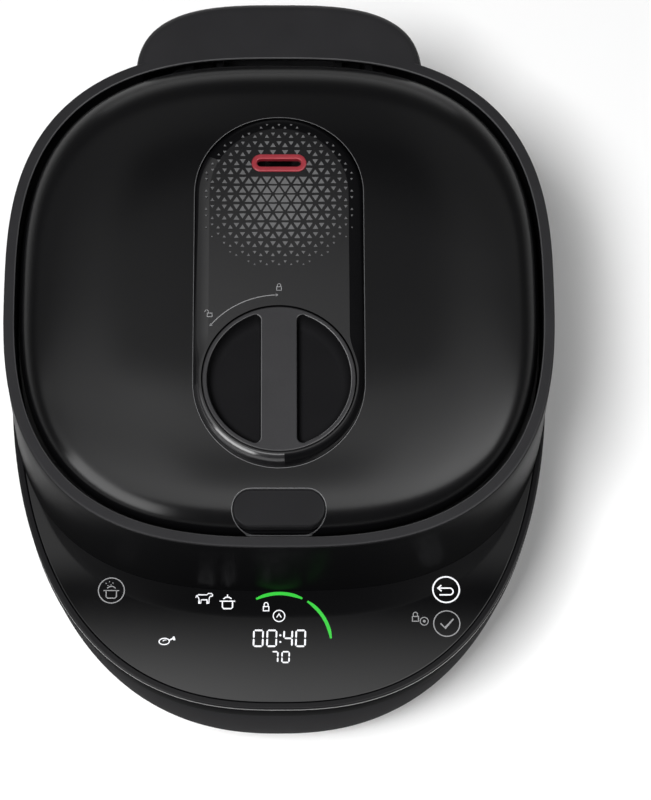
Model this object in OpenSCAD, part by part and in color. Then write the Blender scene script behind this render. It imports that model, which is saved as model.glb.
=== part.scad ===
// Electric pressure cooker with a domed flip lid, a twist lock knob and a touch panel at the front.
// Origin: centre of the footprint on the table. +Z is up and the front faces -Y.

/* [Pot] */
// Distance from the origin back to the axis of the pot
pot_y = 22; // [16:1:28]
// Inner radius of the cooking pot
pot_r = 112; // [104:1:113]
// Wall thickness of the cooking pot
pot_wall = 1.6; // [1:0.1:2.5]
// Height of the underside of the cooking pot
pot_z = 62; // [60:1:70]
// Height of the top face of the pot's rim
pot_top = 214; // [206:1:216]

/* [Lower body] */
// Half width of the body at the rim belt
body_hw = 158; // [156:1:166]
// Reach of the rim belt in front of the pot axis
body_front = 225.5; // [216:0.5:235]
// Reach of the rim belt behind the pot axis
body_back = 152; // [150:1:158]
// Half width of the body at the table
base_hw = 148; // [144:1:154]
// Reach of the base in front of the pot axis
base_front = 204; // [196:1:212]
// Reach of the base behind the pot axis
base_back = 144; // [140:1:148]
// Height at which the lower shell ends and the rim belt begins
shell_top = 145; // [138:1:150]
// Height of the rim belt
belt_h = 14.5; // [10:0.5:18]
// Height of the bezel on top of the rim belt
bezel_h = 3.5; // [2.5:0.5:5]
// Width of the bezel's visible face
bezel_w = 4; // [3:0.5:6]
// Wall thickness of the outer shells
wall = 2.6; // [2:0.1:3.2]
// Height of the rubber feet
foot_h = 5; // [4:0.5:8]

/* [Upper frame] */
// Half width of the lid ring
ring_hw = 156; // [154:1:158]
// Reach of the lid ring in front of the pot axis
ring_front = 152.3; // [150:0.1:158]
// Reach of the lid ring behind the pot axis
ring_back = 150.8; // [149:0.1:154]
// Height of the top face of the lid ring
ring_top = 240; // [239:1:242]
// Width of the ring's top face
ring_face = 6.2; // [5:0.1:7]
// How far the skirt flares forward from the ring down to the panel
skirt_flare = 3.6; // [0:0.1:8]
// Half width of the hinge hood
hood_hw = 84; // [78:1:90]
// Reach of the hinge hood behind the pot axis
hood_back = 182; // [180:1:188]

/* [Lid] */
// Gap between the lid's edge and the ring at the sides and the front
lid_gap = 2.4; // [2:0.1:3.5]
// Extra gap behind the lid, where its edge swings past the ring
lid_rear_gap = 1.9; // [1.5:0.1:3]
// Height of the lid's lower edge
lid_edge = 229; // [228.5:0.5:230]
// Rise of the lid's crown above its shoulder line
lid_rise = 35.5; // [30:0.5:36]
// Extra rise for each millimetre towards the hinge
lid_lean = 0.0363; // [0:0.0001:0.04]
// Angle that the lid opens
lid_open = 80; // [60:1:80]

/* [Knob and steam cover] */
// Height of the steam cover's top face
cover_top = 272; // [272:0.5:276]
// Half width of the steam cover
cover_hw = 47; // [46:0.5:50]
// Distance between the centres of the steam cover's two round ends
cover_run = 110.6; // [100:0.2:112]
// Radius that rounds the steam cover's top edge
cover_round = 4; // [2:0.5:4]
// Width of the steam cover's rim round the knob
knob_edge = 4.8; // [4.6:0.1:8]
// Width of the knob's grip bar
grip_w = 19.7; // [16:0.1:26]
// Depth of the finger hollows beside the grip bar
grip_depth = 11.5; // [8:0.5:12]
// Width of the knob's rim outside the finger hollows
knob_rim = 3.9; // [3:0.1:6]
// Angle that the knob turns between locked and unlocked
knob_turn = 50; // [45:1:52]
// Distance of the steam slot in from the pot's rear wall
vent_in = 48.5; // [46:0.5:54]

/* [Lock] */
// Number of locking lugs
lug_count = 10; // [8:1:10]
// Width of each lug, in degrees
lug_angle = 15; // [12:0.5:15]
// Radial room between the lid's lugs and the body's lugs
lug_room = 0.8; // [0.6:0.1:1.2]
// Teeth of the pinion
pinion_teeth = 26; // [22:1:30]

/* [Release button] */
// Width of the release button
button_w = 50.6; // [44:0.2:56]
// Length of the release button from back to front
button_d = 19.6; // [16:0.2:20]
// Travel of the release button
button_travel = 3; // [2:0.5:3]

/* [Fits] */
// Radial clearance of shafts in their bores
fit = 0.06; // [0.03:0.01:0.1]
// Clearance between parts that only lie side by side
gap = 0.4; // [0.3:0.1:0.6]

/* [Hidden] */
$fn = 96;

// Straight pieces in each body outline, and how square its corners are
sides = 72;
ring_power = 2.75;
skirt_power = 2.85;
belt_power = 2.5;
base_power = 2.3;
// How quickly the lower body swells above the base
swell = 1.8;
shell_step = 0.8;

// Heights of the stacked body parts
belt_top = shell_top + belt_h;
frame_z = belt_top + bezel_h;
panel_t = 2.5;
panel_top = frame_z - 0.5;
body_nose = pot_y - body_front;
base_nose = pot_y - base_front;
ring_wall_z = 213;
deck_t = 3;
plate_z = foot_h + 3;

// Pot, gasket and lid stack, from the pot's rim upwards
pot_out = pot_r + pot_wall;
rim_r = pot_out + 4.4;
rim_t = 2;
gasket_h = 5.2;
liner_z = pot_top - 5;
liner_t = 1.5;
liner_flange_z = pot_top + gasket_h + 0.1;
lid_plate_z = liner_flange_z + liner_t + 0.3;
lid_plate_t = 2.3;
lock_z = lid_plate_z + lid_plate_t + 0.6;
lock_t = 3;
catch_lug_z = lock_z + lock_t + 0.8;
catch_top = catch_lug_z + 3.2;
lid_base_z = catch_top + 1;
lid_base_t = 2.5;
lid_base_top = lid_base_z + lid_base_t;
lid_shoulder = lid_edge + 5;

// Lock ring and the body's catch ring
lock_r = pot_r + 6.5;
lug_reach = 5.2;
lug_r = lock_r + lug_reach;
lug_pitch = 360 / lug_count;
catch_r = lug_r + lug_room;
catch_wall = 3.5;
catch_wall_r = catch_r + 3.5;
catch_out = catch_wall_r + catch_wall;
ring_teeth = 3 * pinion_teeth;
ring_pitch = lock_r - 21;
pinion_pitch = ring_pitch / 3;
gear_module = 2 * ring_pitch / ring_teeth;
tooth_pitch = 360 / ring_teeth;
// Angles of the ring that the pinion can reach, either side of the front
mesh_angle = 17;
ring_turn = knob_turn / 3;
boss_ring = pot_r - 26;
liner_r = pot_r - 8;
tooth_out = 0.8 * gear_module;
tooth_in = gear_module;
backlash = 0.7;
knob_y = pot_y - ring_pitch + pinion_pitch;
knob_r = cover_hw - knob_edge;

// Lid outline
dome_hw = ring_hw - ring_face - lid_gap;
dome_front = ring_front - ring_face - lid_gap;
dome_back = ring_back - ring_face - lid_gap - lid_rear_gap;

// Steam cover and vent
cover_back = knob_y + cover_run;
cover_low = 250;
cover_t = 2.5;
well_floor = cover_top - grip_depth - 3.7;
hollow_y = knob_y + knob_r + 6.8;
post_x = cover_hw - 10;
post_rows = [hollow_y + 14, cover_back];
shaft_r = 6;
vent_y = pot_r - vent_in;
vent_at = pot_y + vent_y;
vent_w = 31;
vent_d = 10.7;
slot_w = 24.4;
slot_d = 4.4;
duct_w = 2 * cover_hw - 32;
duct_d = 26;
valve_x = 16;
valve_top = 240;
relief_r = 3;
float_r = 2.5;
relief_travel = 3;
float_travel = 3.5;

// Release button and latch
button_front = pot_y - dome_front + 0.6;
button_y = button_front + button_d / 2;
button_z = lid_base_top + 7.5;
button_back_z = 255.5;
button_slope = 15.5;
latch_y = button_y + 4.2;
latch_z = lid_base_top + 1.1;
latch_boss = 3;
latch_w = 10;
latch_arm = 8.1;
striker_y = pot_y - ring_front + ring_face + 4.3;
striker_z = lid_edge - 3.5;
striker_t = 2.5;

// Hinge
hinge_y = pot_y + ring_back + 13.2;
hinge_z = ring_top - 10;
hinge_pin_r = 2.95;
arm_in = ring_face + 23.3;
arm_out = 36.5;
arm_x = 44;
arm_w = 8;
arm_foot_y = hinge_y - arm_out;
ear_w = 4;
ear_at = 9;
ear_r = 6;
bracket_z = ring_wall_z - 3.2;

// Base fittings
sensor_r = 17.2;
sensor_hole = 21;
plate_r = pot_r - 20;
heater_z = pot_z - 12;
outer_r = pot_out + 5.4;
outer_z = 40;
board_z = 20;
element_ring = plate_r - 40;
element_r = 3.6;
element_ends = [-75, 255];
cup_hw = 28;
cup_z = 104.5;
cup_h = 35;
cup_front = pot_y + body_back - 14;
cup_rear = pot_y + body_back + 16;
// How far back the shell's wall leaves room for the cup's sleeve at its corners
sleeve_flat = pow(1 - pow((cup_hw + 2.2) / (body_hw - wall), belt_power), 1 / belt_power);
sleeve_rear = pot_y + (body_back - wall) * sleeve_flat - 1.800;
inlet_z = 47;
inlet_rear = pot_y + base_back + 5.5;

// ---------- shared shapes ----------

function mix(a, b, k) = a + (b - a) * k;
function power(v, e) = sign(v) * pow(abs(v), e);
function level(points, z) = [for (p = points) [p[0], p[1], z]];

// A rounded body outline about the pot axis, drawn in by inset
function outline(hw, front, back, n, inset = 0) =
    [for (i = [0:sides - 1])
        let (a = 360 * i / sides, s = sin(a), reach = s < 0 ? front : back)
        [(hw - inset) * power(cos(a), 2 / n), pot_y + (reach - inset) * power(s, 2 / n)]];

function ring_line(inset) = outline(ring_hw, ring_front, ring_back, ring_power, inset);
function belt_line(inset) = outline(body_hw, body_front, body_back, belt_power, inset);
function dome_line(inset) = outline(dome_hw, dome_front, dome_back, ring_power, inset);

// The skirt's outline: k is 0 at the panel and 1 at the ring
function skirt_line(k, inset) =
    outline(mix(body_hw, ring_hw, k), mix(ring_front + skirt_flare, ring_front, k),
        mix(body_back, ring_back, k), mix(skirt_power, ring_power, k), inset);

// The lower body's outline at a height
function shell_line(z, inset) =
    let (k = 1 - pow(1 - z / shell_top, swell))
    outline(mix(base_hw, body_hw - shell_step, k), mix(base_front, body_front - shell_step, k),
        mix(base_back, body_back - shell_step, k), mix(base_power, belt_power, k), inset);

// A solid through a stack of outlines that all have as many points
module loft(rings, closed = false) {
    n = len(rings[0]);
    m = len(rings);
    skin = [for (i = [0:m - (closed ? 1 : 2)], j = [0:n - 1])
        let (up = (i + 1) % m, next = (j + 1) % n)
        each [[i * n + j, up * n + j, up * n + next], [i * n + j, up * n + next, i * n + next]]];
    caps = closed ? [] : [[for (j = [0:n - 1]) j], [for (j = [n - 1:-1:0]) (m - 1) * n + j]];
    polyhedron([for (r = rings) each r], concat(skin, caps));
}

// A coiled wire that climbs from its lowest turn
module coil(r, wire, turns, height, steps = 12, corners = 6) {
    count = steps * turns;
    loft([for (i = [0:count])
        let (a = 360 * i / steps, z = wire + (height - 2 * wire) * i / count)
        [for (j = [0:corners - 1])
            let (b = -360 * j / corners, d = r + wire * cos(b))
            [d * cos(a), d * sin(a), z + wire * sin(b)]]]);
}

// Half section of a cup with a round lower edge, for a revolve
module cup_section(r, z0, z1, round) {
    translate([0, z0]) square([r - round, z1 - z0]);
    translate([0, z0 + round]) square([r, z1 - z0 - round]);
    translate([r - round, z0 + round]) circle(r = round);
}

module wedge(from, to, r) {
    mid = (from + to) / 2;
    polygon([[0, 0], r * [cos(from), sin(from)], 1.2 * r * [cos(mid), sin(mid)], r * [cos(to), sin(to)]]);
}

module stadium(w, d) {
    square([w - d, d], center = true);
    for (s = [-1, 1]) translate([s * (w - d) / 2, 0]) circle(d = d);
}

// Long pill with its round ends on the Y axis
module pill(hw, from, to) {
    translate([-hw, from]) square([2 * hw, to - from]);
    translate([0, from]) circle(r = hw);
    translate([0, to]) circle(r = hw);
}

// Profile in the plane X = 0, given as (y, z), thickened along X about x
module side_plate(x, w) {
    translate([x - w / 2, 0, 0]) rotate([90, 0, 90]) linear_extrude(w) children();
}

module both_sides() {
    children();
    mirror([1, 0, 0]) children();
}

// ---------- lower body ----------

module lower_shell() color("#5a5b5e") {
    outer = [[foot_h, 5.5], [foot_h + 1.5, 2.2], [foot_h + 5, 0], [32, 0], [58, 0], [86, 0],
        [116, 0], [shell_top, 0]];
    inner = [[shell_top, wall], [100, wall], [55, wall], [22, wall], [foot_h + 6, wall + 1],
        [foot_h, 8]];
    difference() {
        loft([for (p = concat(outer, inner)) level(shell_line(p[0], p[1]), p[0])], closed = true);
        translate([-cup_hw - gap, cup_front, cup_z - gap]) cube([2 * (cup_hw + gap), 60, cup_h + 2 * gap]);
        translate([-16 - gap, cup_front, inlet_z - 13 - gap]) cube([32 + 2 * gap, 60, 26 + 2 * gap]);
    }
}

module bottom_cover() color("#1d1d1f") difference() {
    union() {
        translate([0, 0, foot_h]) linear_extrude(plate_z - foot_h) polygon(shell_line(foot_h, 8.3));
        // Posts for the power board
        for (x = [-52, 52], y = [30, 79]) translate([x, base_nose + y, plate_z]) {
            cylinder(r = 3.5, h = board_z - plate_z);
        }
    }
    for (i = [-7:7]) translate([9 * i, pot_y, foot_h - 1]) linear_extrude(5) {
        square([3.2, 70], center = true);
    }
    for (p = screw_places) translate([p[0], p[1], foot_h - 1]) {
        cylinder(r = 2, h = 5);
        cylinder(r = 3.8, h = 2.5);
    }
}

screw_places = [[0, base_nose + 32], [36 - base_hw, pot_y - 62], [base_hw - 36, pot_y - 62],
    [-base_hw / 2 + 4, pot_y + base_back - 34], [base_hw / 2 - 4, pot_y + base_back - 34]];
foot_places = [[-base_hw / 2, base_nose + 58], [base_hw / 2, base_nose + 58],
    [64 - base_hw, pot_y + base_back - 48], [base_hw - 64, pot_y + base_back - 48]];

module rubber_feet() color("#141414") for (p = foot_places) translate([p[0], p[1], 0]) {
    cylinder(r1 = 10, r2 = 11.5, h = foot_h);
}

module base_screws() color("#9a9a9a") for (p = screw_places) translate([p[0], p[1], foot_h + 0.1]) {
    difference() {
        cylinder(r = 3.6, h = 1.3);
        translate([-2.5, -0.5, -1]) cube([5, 1, 1.6]);
        translate([-0.5, -2.5, -1]) cube([1, 5, 1.6]);
    }
    cylinder(r = 1.9, h = 10);
}

module rim_belt() color("#161618") translate([0, 0, shell_top]) linear_extrude(belt_h) difference() {
    polygon(belt_line(0));
    polygon(belt_line(3.2));
}

module bezel() color("#6a6a6c") translate([0, 0, belt_top]) difference() {
    linear_extrude(bezel_h) polygon(belt_line(0));
    translate([0, 0, -1]) linear_extrude(bezel_h + 2) polygon(belt_line(bezel_w));
}

// The flat crescent between the skirt and an outline, in front of a line across the body
module crescent(inset, tuck, back_y) {
    difference() {
        polygon(belt_line(inset));
        polygon(skirt_line(0, tuck));
        translate([-1.2 * body_hw, back_y]) square([2.4 * body_hw, 600]);
    }
}

module control_panel() color("#050506") translate([0, 0, panel_top - panel_t]) linear_extrude(panel_t) {
    crescent(bezel_w + 0.3, 1.2, body_nose + 142.5);
}

module panel_tray() color("#222224") {
    translate([0, 0, belt_top - 11]) linear_extrude(2.5) difference() {
        polygon(belt_line(3.5));
        translate([0, pot_y]) circle(r = catch_out + 2);
        translate([-body_hw, body_nose + 131.5]) square([2 * body_hw, 300]);
    }
    for (p = board_posts) translate([p[0], p[1], belt_top - 8.5]) cylinder(r = 3, h = 2.5);
}

board_posts = [[62 - body_hw, body_nose + 81.5], [body_hw - 62, body_nose + 81.5], [-62, body_nose + 35.5],
    [62, body_nose + 35.5]];
touch_places = [[61.6 - body_hw, body_nose + 70.1], [body_hw - 61.9, body_nose + 70.2],
    [body_hw - 61.9, body_nose + 50.1], [-62.6, body_nose + 43.1], [-42, body_nose + 65.5],
    [-29, body_nose + 62.5]];

module control_board() color("#1f4a2c") translate([0, 0, belt_top - 6]) linear_extrude(1.6) {
    crescent(14, -4, body_nose + 95.5);
}

module display_module() color("#0c0c10") translate([-35, body_nose + 17.5, belt_top - 4.4]) {
    cube([70, 40, 4.8]);
}

module touch_pads() color("#b9bcc0") for (p = touch_places) translate([p[0], p[1], belt_top - 4.4]) {
    cylinder(r = 3.5, h = 4.6);
}

// ---------- upper frame ----------

hood_steps = 30;
hood_y = pot_y + ring_back - 22.8;
hood_power = 3;
hood_wall = 4;

// The hood's outline: a round back, closed straight across inside the ring
function hood_line(hw, back, front_y) =
    concat(
        [for (i = [0:hood_steps])
            let (a = 180 * i / hood_steps)
            [hw * power(cos(a), 2 / hood_power), hood_y + (back - hood_y) * power(sin(a), 2 / hood_power)]],
        [[-hw, front_y], [hw, front_y]]);

// Heights of the hood's sections, how far each is drawn in at the sides, and how far back it reaches
hood_sections = [[ring_top - 68, 4, 28], [ring_top - 61, 2, 14], [ring_top - 52, 0.8, 4.5],
    [ring_top - 36, 0, 0.8], [ring_top - 9, 0, 0], [ring_top - 3.5, 0.9, 0.9], [ring_top - 0.8, 3.5, 3.5],
    [ring_top, 7, 7]];
hood_void = [[ring_top - 65.5, 8, 30], [ring_top - 54, 5, 10], [ring_top - 40, hood_wall, hood_wall + 0.5],
    [ring_top - 2.7, hood_wall, hood_wall]];

module upper_frame() color("#47474a") {
    outer_back = pot_y + hood_back;
    skirt_h = ring_top - frame_z;
    outer = [[0, 0], [0.35, 0], [0.7, 0], [1 - 1.2 / skirt_h, 0], [1, 0.9]];
    inner = [[-0.01, wall], [(ring_wall_z - 2 - frame_z) / skirt_h, wall],
        [(ring_wall_z + deck_t + 1 - frame_z) / skirt_h, ring_face], [1 - 0.6 / skirt_h, ring_face],
        [1.01, ring_face - 1.4]];
    difference() {
        union() {
            loft([for (p = outer) level(skirt_line(p[0], p[1]), frame_z + p[0] * skirt_h)]);
            loft([for (s = hood_sections)
                level(hood_line(hood_hw - s[1], outer_back - s[2], hood_y - 1), s[0])]);
        }
        loft([for (p = inner) level(skirt_line(p[0], p[1]), frame_z + p[0] * skirt_h)]);
        loft([for (s = hood_void) level(hood_line(hood_hw - s[1], outer_back - s[2], hood_y - 10), s[0])]);
    }
}

module top_deck() color("#2a2a2c") translate([0, 0, ring_wall_z]) difference() {
    linear_extrude(deck_t) difference() {
        polygon(ring_line(ring_face + gap));
        translate([0, pot_y]) circle(r = catch_out + gap);
        for (s = [-1, 1]) translate([s * arm_x - arm_w / 2 - 2, arm_foot_y - 3]) square([arm_w + 4, 60]);
        translate([0, pot_y + catch_out + 7]) circle(r = 2.5);
    }
    // Drip channel round the pot
    translate([0, pot_y, deck_t - 1.4]) rotate_extrude() translate([catch_out + 3, 0]) square([5, 3]);
}

module catch_ring() color("#8f9296") translate([0, pot_y, 0]) {
    difference() {
        rotate_extrude() {
            translate([catch_wall_r, pot_top - 2]) square([catch_wall, catch_top - pot_top + 2]);
            translate([rim_r + 3, pot_top - 2]) square([catch_out - rim_r - 3, 2]);
        }
        // Window in front for the latch hook's swing
        translate([-latch_w / 2 - 2, -catch_out - 2, striker_z - 7]) cube([latch_w + 4, catch_wall + 6, 20]);
    }
    for (i = [0:lug_count - 1]) translate([0, 0, catch_lug_z]) linear_extrude(catch_top - catch_lug_z) {
        intersection() {
            difference() {
                circle(r = catch_wall_r + 1);
                circle(r = catch_r);
            }
            wedge(i * lug_pitch - lug_angle / 2, i * lug_pitch + lug_angle / 2, 1.2 * catch_out);
        }
    }
}

module latch_striker() color("#a8abb0") {
    wall_y = pot_y - ring_front + ring_face + 0.3;
    translate([-9, wall_y, striker_z]) cube([18, striker_y - wall_y, striker_t]);
    translate([-9, wall_y, ring_wall_z + deck_t]) cube([18, 2, striker_z - ring_wall_z - deck_t + 1]);
}

// ---------- heating and electrics ----------

module outer_pot() color("#a9adb2") translate([0, pot_y, 0]) difference() {
    rotate_extrude() difference() {
        union() {
            cup_section(outer_r, outer_z, pot_top - 2, 14);
            translate([outer_r - 2, pot_top - 3.5]) square([catch_out - outer_r + 2, 1.5]);
        }
        cup_section(outer_r - 1.5, outer_z + 1.5, pot_top, 12.5);
        translate([-1, outer_z - 1]) square([31, 5]);
    }
    for (a = element_ends) rotate(a) translate([element_ring, 0, outer_z - 1]) cylinder(r = 4, h = 4);
}

module inner_pot() color("#b5b7ba") translate([0, pot_y, 0]) rotate_extrude() difference() {
    union() {
        cup_section(pot_out, pot_z, pot_top, 24);
        translate([pot_r, pot_top - rim_t]) square([rim_r - pot_r, rim_t]);
    }
    cup_section(pot_r, pot_z + 2.4, pot_top + 1, 22);
}

module heating_plate() color("#8a8d90") translate([0, pot_y, 0]) {
    rotate_extrude() difference() {
        translate([sensor_hole, heater_z]) square([plate_r - sensor_hole, 11.7]);
        translate([plate_r - 14, heater_z - 0.01]) square([20, 5]);
    }
    for (a = [90, 210, 330]) rotate(a) translate([plate_r - 22, 0, outer_z + 1.5]) {
        cylinder(r = 4, h = heater_z - outer_z - 1.4);
    }
}

module heating_element() color("#5c5c5e") translate([0, pot_y, heater_z - element_r - 0.1]) {
    rotate(-75) rotate_extrude(angle = 330) translate([element_ring, 0]) circle(r = element_r);
    for (a = element_ends) rotate(a) translate([element_ring, 0, -12]) cylinder(r = 2.5, h = 12);
}

module sensor_holder() color("#c9c4b8") translate([0, pot_y, 0]) rotate_extrude() {
    translate([0, heater_z - 16]) square([sensor_r + 2.4, 2]);
    translate([sensor_r + 0.4, heater_z - 16]) square([2, 16]);
    translate([sensor_r + 0.4, heater_z - 1.6]) square([8, 1.5]);
}

module sensor_cap() color("#c8cbd0") translate([0, pot_y, 0]) rotate_extrude() difference() {
    translate([0, heater_z - 4]) square([sensor_r, pot_z - heater_z + 3.8]);
    translate([-1, heater_z - 5]) square([sensor_r - 0.6, pot_z - heater_z + 3]);
}

module sensor_spring() color("#8f9296") translate([0, pot_y, heater_z - 13.9]) coil(11, 0.8, 5, 23.6);

module power_board() color("#24562f") translate([0, base_nose, board_z]) {
    translate([-60, 22, 0]) cube([120, 65, 1.6]);
    translate([-50, 32, 1.6]) cube([32, 27, 24]);
    translate([-8, 32, 1.6]) cube([22, 16, 16]);
    translate([24, 34, 1.6]) cube([28, 12, 18]);
    for (x = [28, 44]) translate([x, 62, 1.6]) cylinder(r = 6.5, h = 20);
    translate([-44, 70, 1.6]) cube([30, 9, 12]);
}

module power_inlet() color("#111113") difference() {
    translate([-16, inlet_rear - 22, inlet_z - 13]) cube([32, 22, 26]);
    translate([-12.3, inlet_rear - 17, inlet_z - 8.2]) cube([24.6, 18, 16.4]);
    pin_blades();
}

module pin_blades() for (p = [[-7, -2], [0, 2], [7, -2]]) {
    translate([p[0] - 1, inlet_rear - 26, inlet_z + p[1] - 2]) cube([2, 22, 4]);
}

module inlet_pins() color("#c8b98a") pin_blades();

module cup_sleeve() color("#2a2a2c") difference() {
    translate([-cup_hw - 2.2, cup_front - 2.4, cup_z - 2.2]) {
        cube([2 * cup_hw + 4.4, sleeve_rear - cup_front + 2.4, cup_h + 4.4]);
    }
    translate([-cup_hw - gap, cup_front - gap, cup_z - gap]) {
        cube([2 * (cup_hw + gap), 20, cup_h + 2 * gap]);
    }
    translate([-8, cup_front + 1, cup_z]) cube([16, 6, cup_h + 10]);
}

module cup_plan(inset) {
    w = cup_hw - inset;
    translate([-w, cup_front + inset]) square([2 * w, cup_rear - cup_front - 10 - inset]);
    translate([-w + 10 - inset, cup_front + inset]) {
        square([2 * w - 20 + 2 * inset, cup_rear - cup_front - 2 * inset]);
    }
    for (s = [-1, 1]) translate([s * (cup_hw - 10), cup_rear - 10]) circle(r = 10 - inset);
}

module condensate_cup() color("#58595c") translate([0, 0, cup_z]) difference() {
    linear_extrude(cup_h) cup_plan(0);
    translate([0, 0, 1.8]) linear_extrude(cup_h) cup_plan(1.8);
    // Finger grip under the rear edge
    translate([-14, cup_rear - 5, -1]) cube([28, 10, 5]);
}

// ---------- hinge ----------

module hinge_ear() difference() {
    union() {
        translate([hinge_y, hinge_z]) circle(r = ear_r);
        polygon([[hinge_y - 28, bracket_z], [hinge_y - 28, bracket_z + 3], [hinge_y - 18.5, bracket_z + 3],
            [hinge_y - ear_r, hinge_z], [hinge_y + ear_r, hinge_z], [hinge_y + ear_r, hinge_z - 8],
            [hinge_y - 6, bracket_z - 6], [hinge_y - 18, bracket_z - 6]]);
    }
    translate([hinge_y, hinge_z]) circle(r = hinge_pin_r + fit);
}

// Hangs under the deck behind the pot, notched for the arms
module hinge_bracket() color("#8f9296") {
    reach = arm_x + ear_at + ear_w / 2;
    difference() {
        translate([-reach, hinge_y - 28, bracket_z]) cube([2 * reach, 7, 3]);
        for (s = [-1, 1]) translate([s * arm_x - arm_w / 2 - 2, hinge_y - 30, bracket_z - 1]) {
            cube([arm_w + 4, 20, 5]);
        }
    }
    for (s = [-1, 1], d = [-ear_at, ear_at]) side_plate(s * arm_x + d, ear_w) hinge_ear();
}

module hinge_pin() color("#b9bcc0") translate([0, hinge_y, hinge_z]) rotate([0, 90, 0]) {
    cylinder(r = hinge_pin_r, h = 2 * (arm_x + ear_at + ear_w), center = true);
    for (s = [-1, 1]) translate([0, 0, s * (arm_x + ear_at + ear_w / 2 + 1.3)]) {
        cylinder(r = 4.6, h = 2, center = true);
    }
}

module hinge_springs() color("#77797d") both_sides() {
    translate([arm_x - ear_at - ear_w / 2 - 14.3, hinge_y, hinge_z]) rotate([0, 90, 0]) {
        coil(4.4, 0.9, 6, 14, corners = 5);
    }
}

module hinge_arms() color("#8f9296") for (s = [-1, 1]) side_plate(s * arm_x, arm_w) difference() {
    union() {
        // Curved neck that passes under the ring's rear edge
        translate([hinge_y, hinge_z]) intersection() {
            difference() {
                circle(r = arm_out);
                circle(r = arm_in);
            }
            wedge(178, 275, 60);
        }
        translate([hinge_y - 3.5, hinge_z - arm_out + 0.6]) square([7, arm_out]);
        translate([hinge_y, hinge_z]) circle(r = ear_r);
        translate([arm_foot_y, hinge_z - 3]) square([arm_out - arm_in, lid_base_z - hinge_z + 3]);
    }
    translate([hinge_y, hinge_z]) circle(r = hinge_pin_r + fit);
}

// ---------- lid ----------

function dome_z(rho, y) = lid_shoulder + (lid_rise + lid_lean * (y - pot_y)) * sqrt(1 - pow(rho, 4));

// Section of the dome where it is rho times as wide as the lid, drawn in by inset
function dome_ring(rho, inset) =
    let (hw = dome_hw - inset, front = dome_front - inset, back = dome_back - inset)
    [for (p = outline(rho * hw, rho * front, rho * back, ring_power))
        [p[0], p[1], dome_z(rho, p[1]) - inset]];

function dome_cap(rho, inset) =
    level(outline(rho * dome_hw, rho * dome_front, rho * dome_back, ring_power), dome_z(rho, pot_y) - inset);

module lid_dome() color("#1b1b1e") difference() {
    loft(concat(
        [dome_cap(0.05, wall)],
        [for (rho = [0.5, 0.76, 0.9, 0.97, 1]) dome_ring(rho, wall)],
        [level(dome_line(wall), lid_edge), level(dome_line(0), lid_edge)],
        [for (rho = [1, 0.988, 0.965, 0.93, 0.885, 0.82, 0.73, 0.6, 0.42, 0.22]) dome_ring(rho, 0)],
        [dome_cap(0.05, 0)]));
    translate([0, 0, lid_edge + 8]) linear_extrude(60) pill(cover_hw + 0.3, knob_y, cover_back);
    translate([0, button_y, button_z - button_travel - 2]) linear_extrude(40) {
        stadium(button_w + 2 * gap, button_d + 2 * gap);
    }
}

boss_angles = [0, 62, 118, 180, 222, 318];

module lid_base() color("#2a2a2c") difference() {
    union() {
        translate([0, 0, lid_base_z]) linear_extrude(lid_base_t) polygon(dome_line(wall + 1.6));
        for (a = boss_angles) translate([0, pot_y, lid_plate_z + lid_plate_t]) rotate(a) {
            translate([boss_ring, 0, 0]) cylinder(r = 5, h = lid_base_z - lid_plate_z - lid_plate_t + 0.5);
        }
        // Ears that carry the latch pin
        both_sides() side_plate(latch_w / 2 + 2.5, 3) {
            translate([latch_y - latch_boss, lid_base_z + 1]) {
                square([2 * latch_boss, latch_z - lid_base_z - 1]);
            }
            translate([latch_y, latch_z]) circle(r = latch_boss);
        }
        translate([0, knob_y, lid_base_top - 0.5]) cylinder(r = 12, h = 8);
    }
    translate([0, knob_y, lid_base_z - 1]) cylinder(r = shaft_r + fit, h = 20);
    for (s = [-1, 1]) translate([s * valve_x, vent_at, lid_base_z - 1]) cylinder(r = 7.8, h = 5);
    translate([-latch_w / 2 - 1, button_front - 4, lid_base_z - 1]) {
        cube([latch_w + 2, latch_y - button_front + 9, 4]);
    }
    translate([0, latch_y, latch_z]) rotate([0, 90, 0]) cylinder(r = 1.5 + fit, h = 24, center = true);
    for (a = boss_angles) translate([0, pot_y, 0]) rotate(a) translate([boss_ring, 0, lid_plate_z]) {
        cylinder(r = 2, h = 12);
    }
}

module lid_plate() color("#a9adb2") translate([0, pot_y, lid_plate_z]) difference() {
    cylinder(r = lock_r - 1, h = lid_plate_t);
    for (s = [-1, 1]) translate([s * valve_x, vent_y, -1]) cylinder(r = 7.8, h = 5);
    for (a = boss_angles) rotate(a) translate([boss_ring, 0, -1]) cylinder(r = 2.2, h = 6);
    translate([0, 0, -1]) cylinder(r = 3.2, h = 6);
    // Stiffening groove
    rotate_extrude() translate([pot_r - 14, 1.4]) square([10, 2]);
}

module inner_lid() color("#b5b7ba") translate([0, pot_y, 0]) difference() {
    rotate_extrude() {
        translate([0, liner_z]) square([liner_r, liner_t]);
        translate([liner_r, liner_z]) square([liner_t, liner_flange_z - liner_z + liner_t]);
        translate([liner_r, liner_flange_z]) square([12, liner_t]);
    }
    for (s = [-1, 1]) translate([s * valve_x, vent_y, liner_z - 1]) cylinder(r = 7.8, h = 4);
    translate([0, 0, liner_z - 1]) cylinder(r = 3.2, h = 4);
    for (a = [20:40:160]) rotate(-a) translate([60, 0, liner_z - 1]) cylinder(r = 1.2, h = 4);
}

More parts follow.
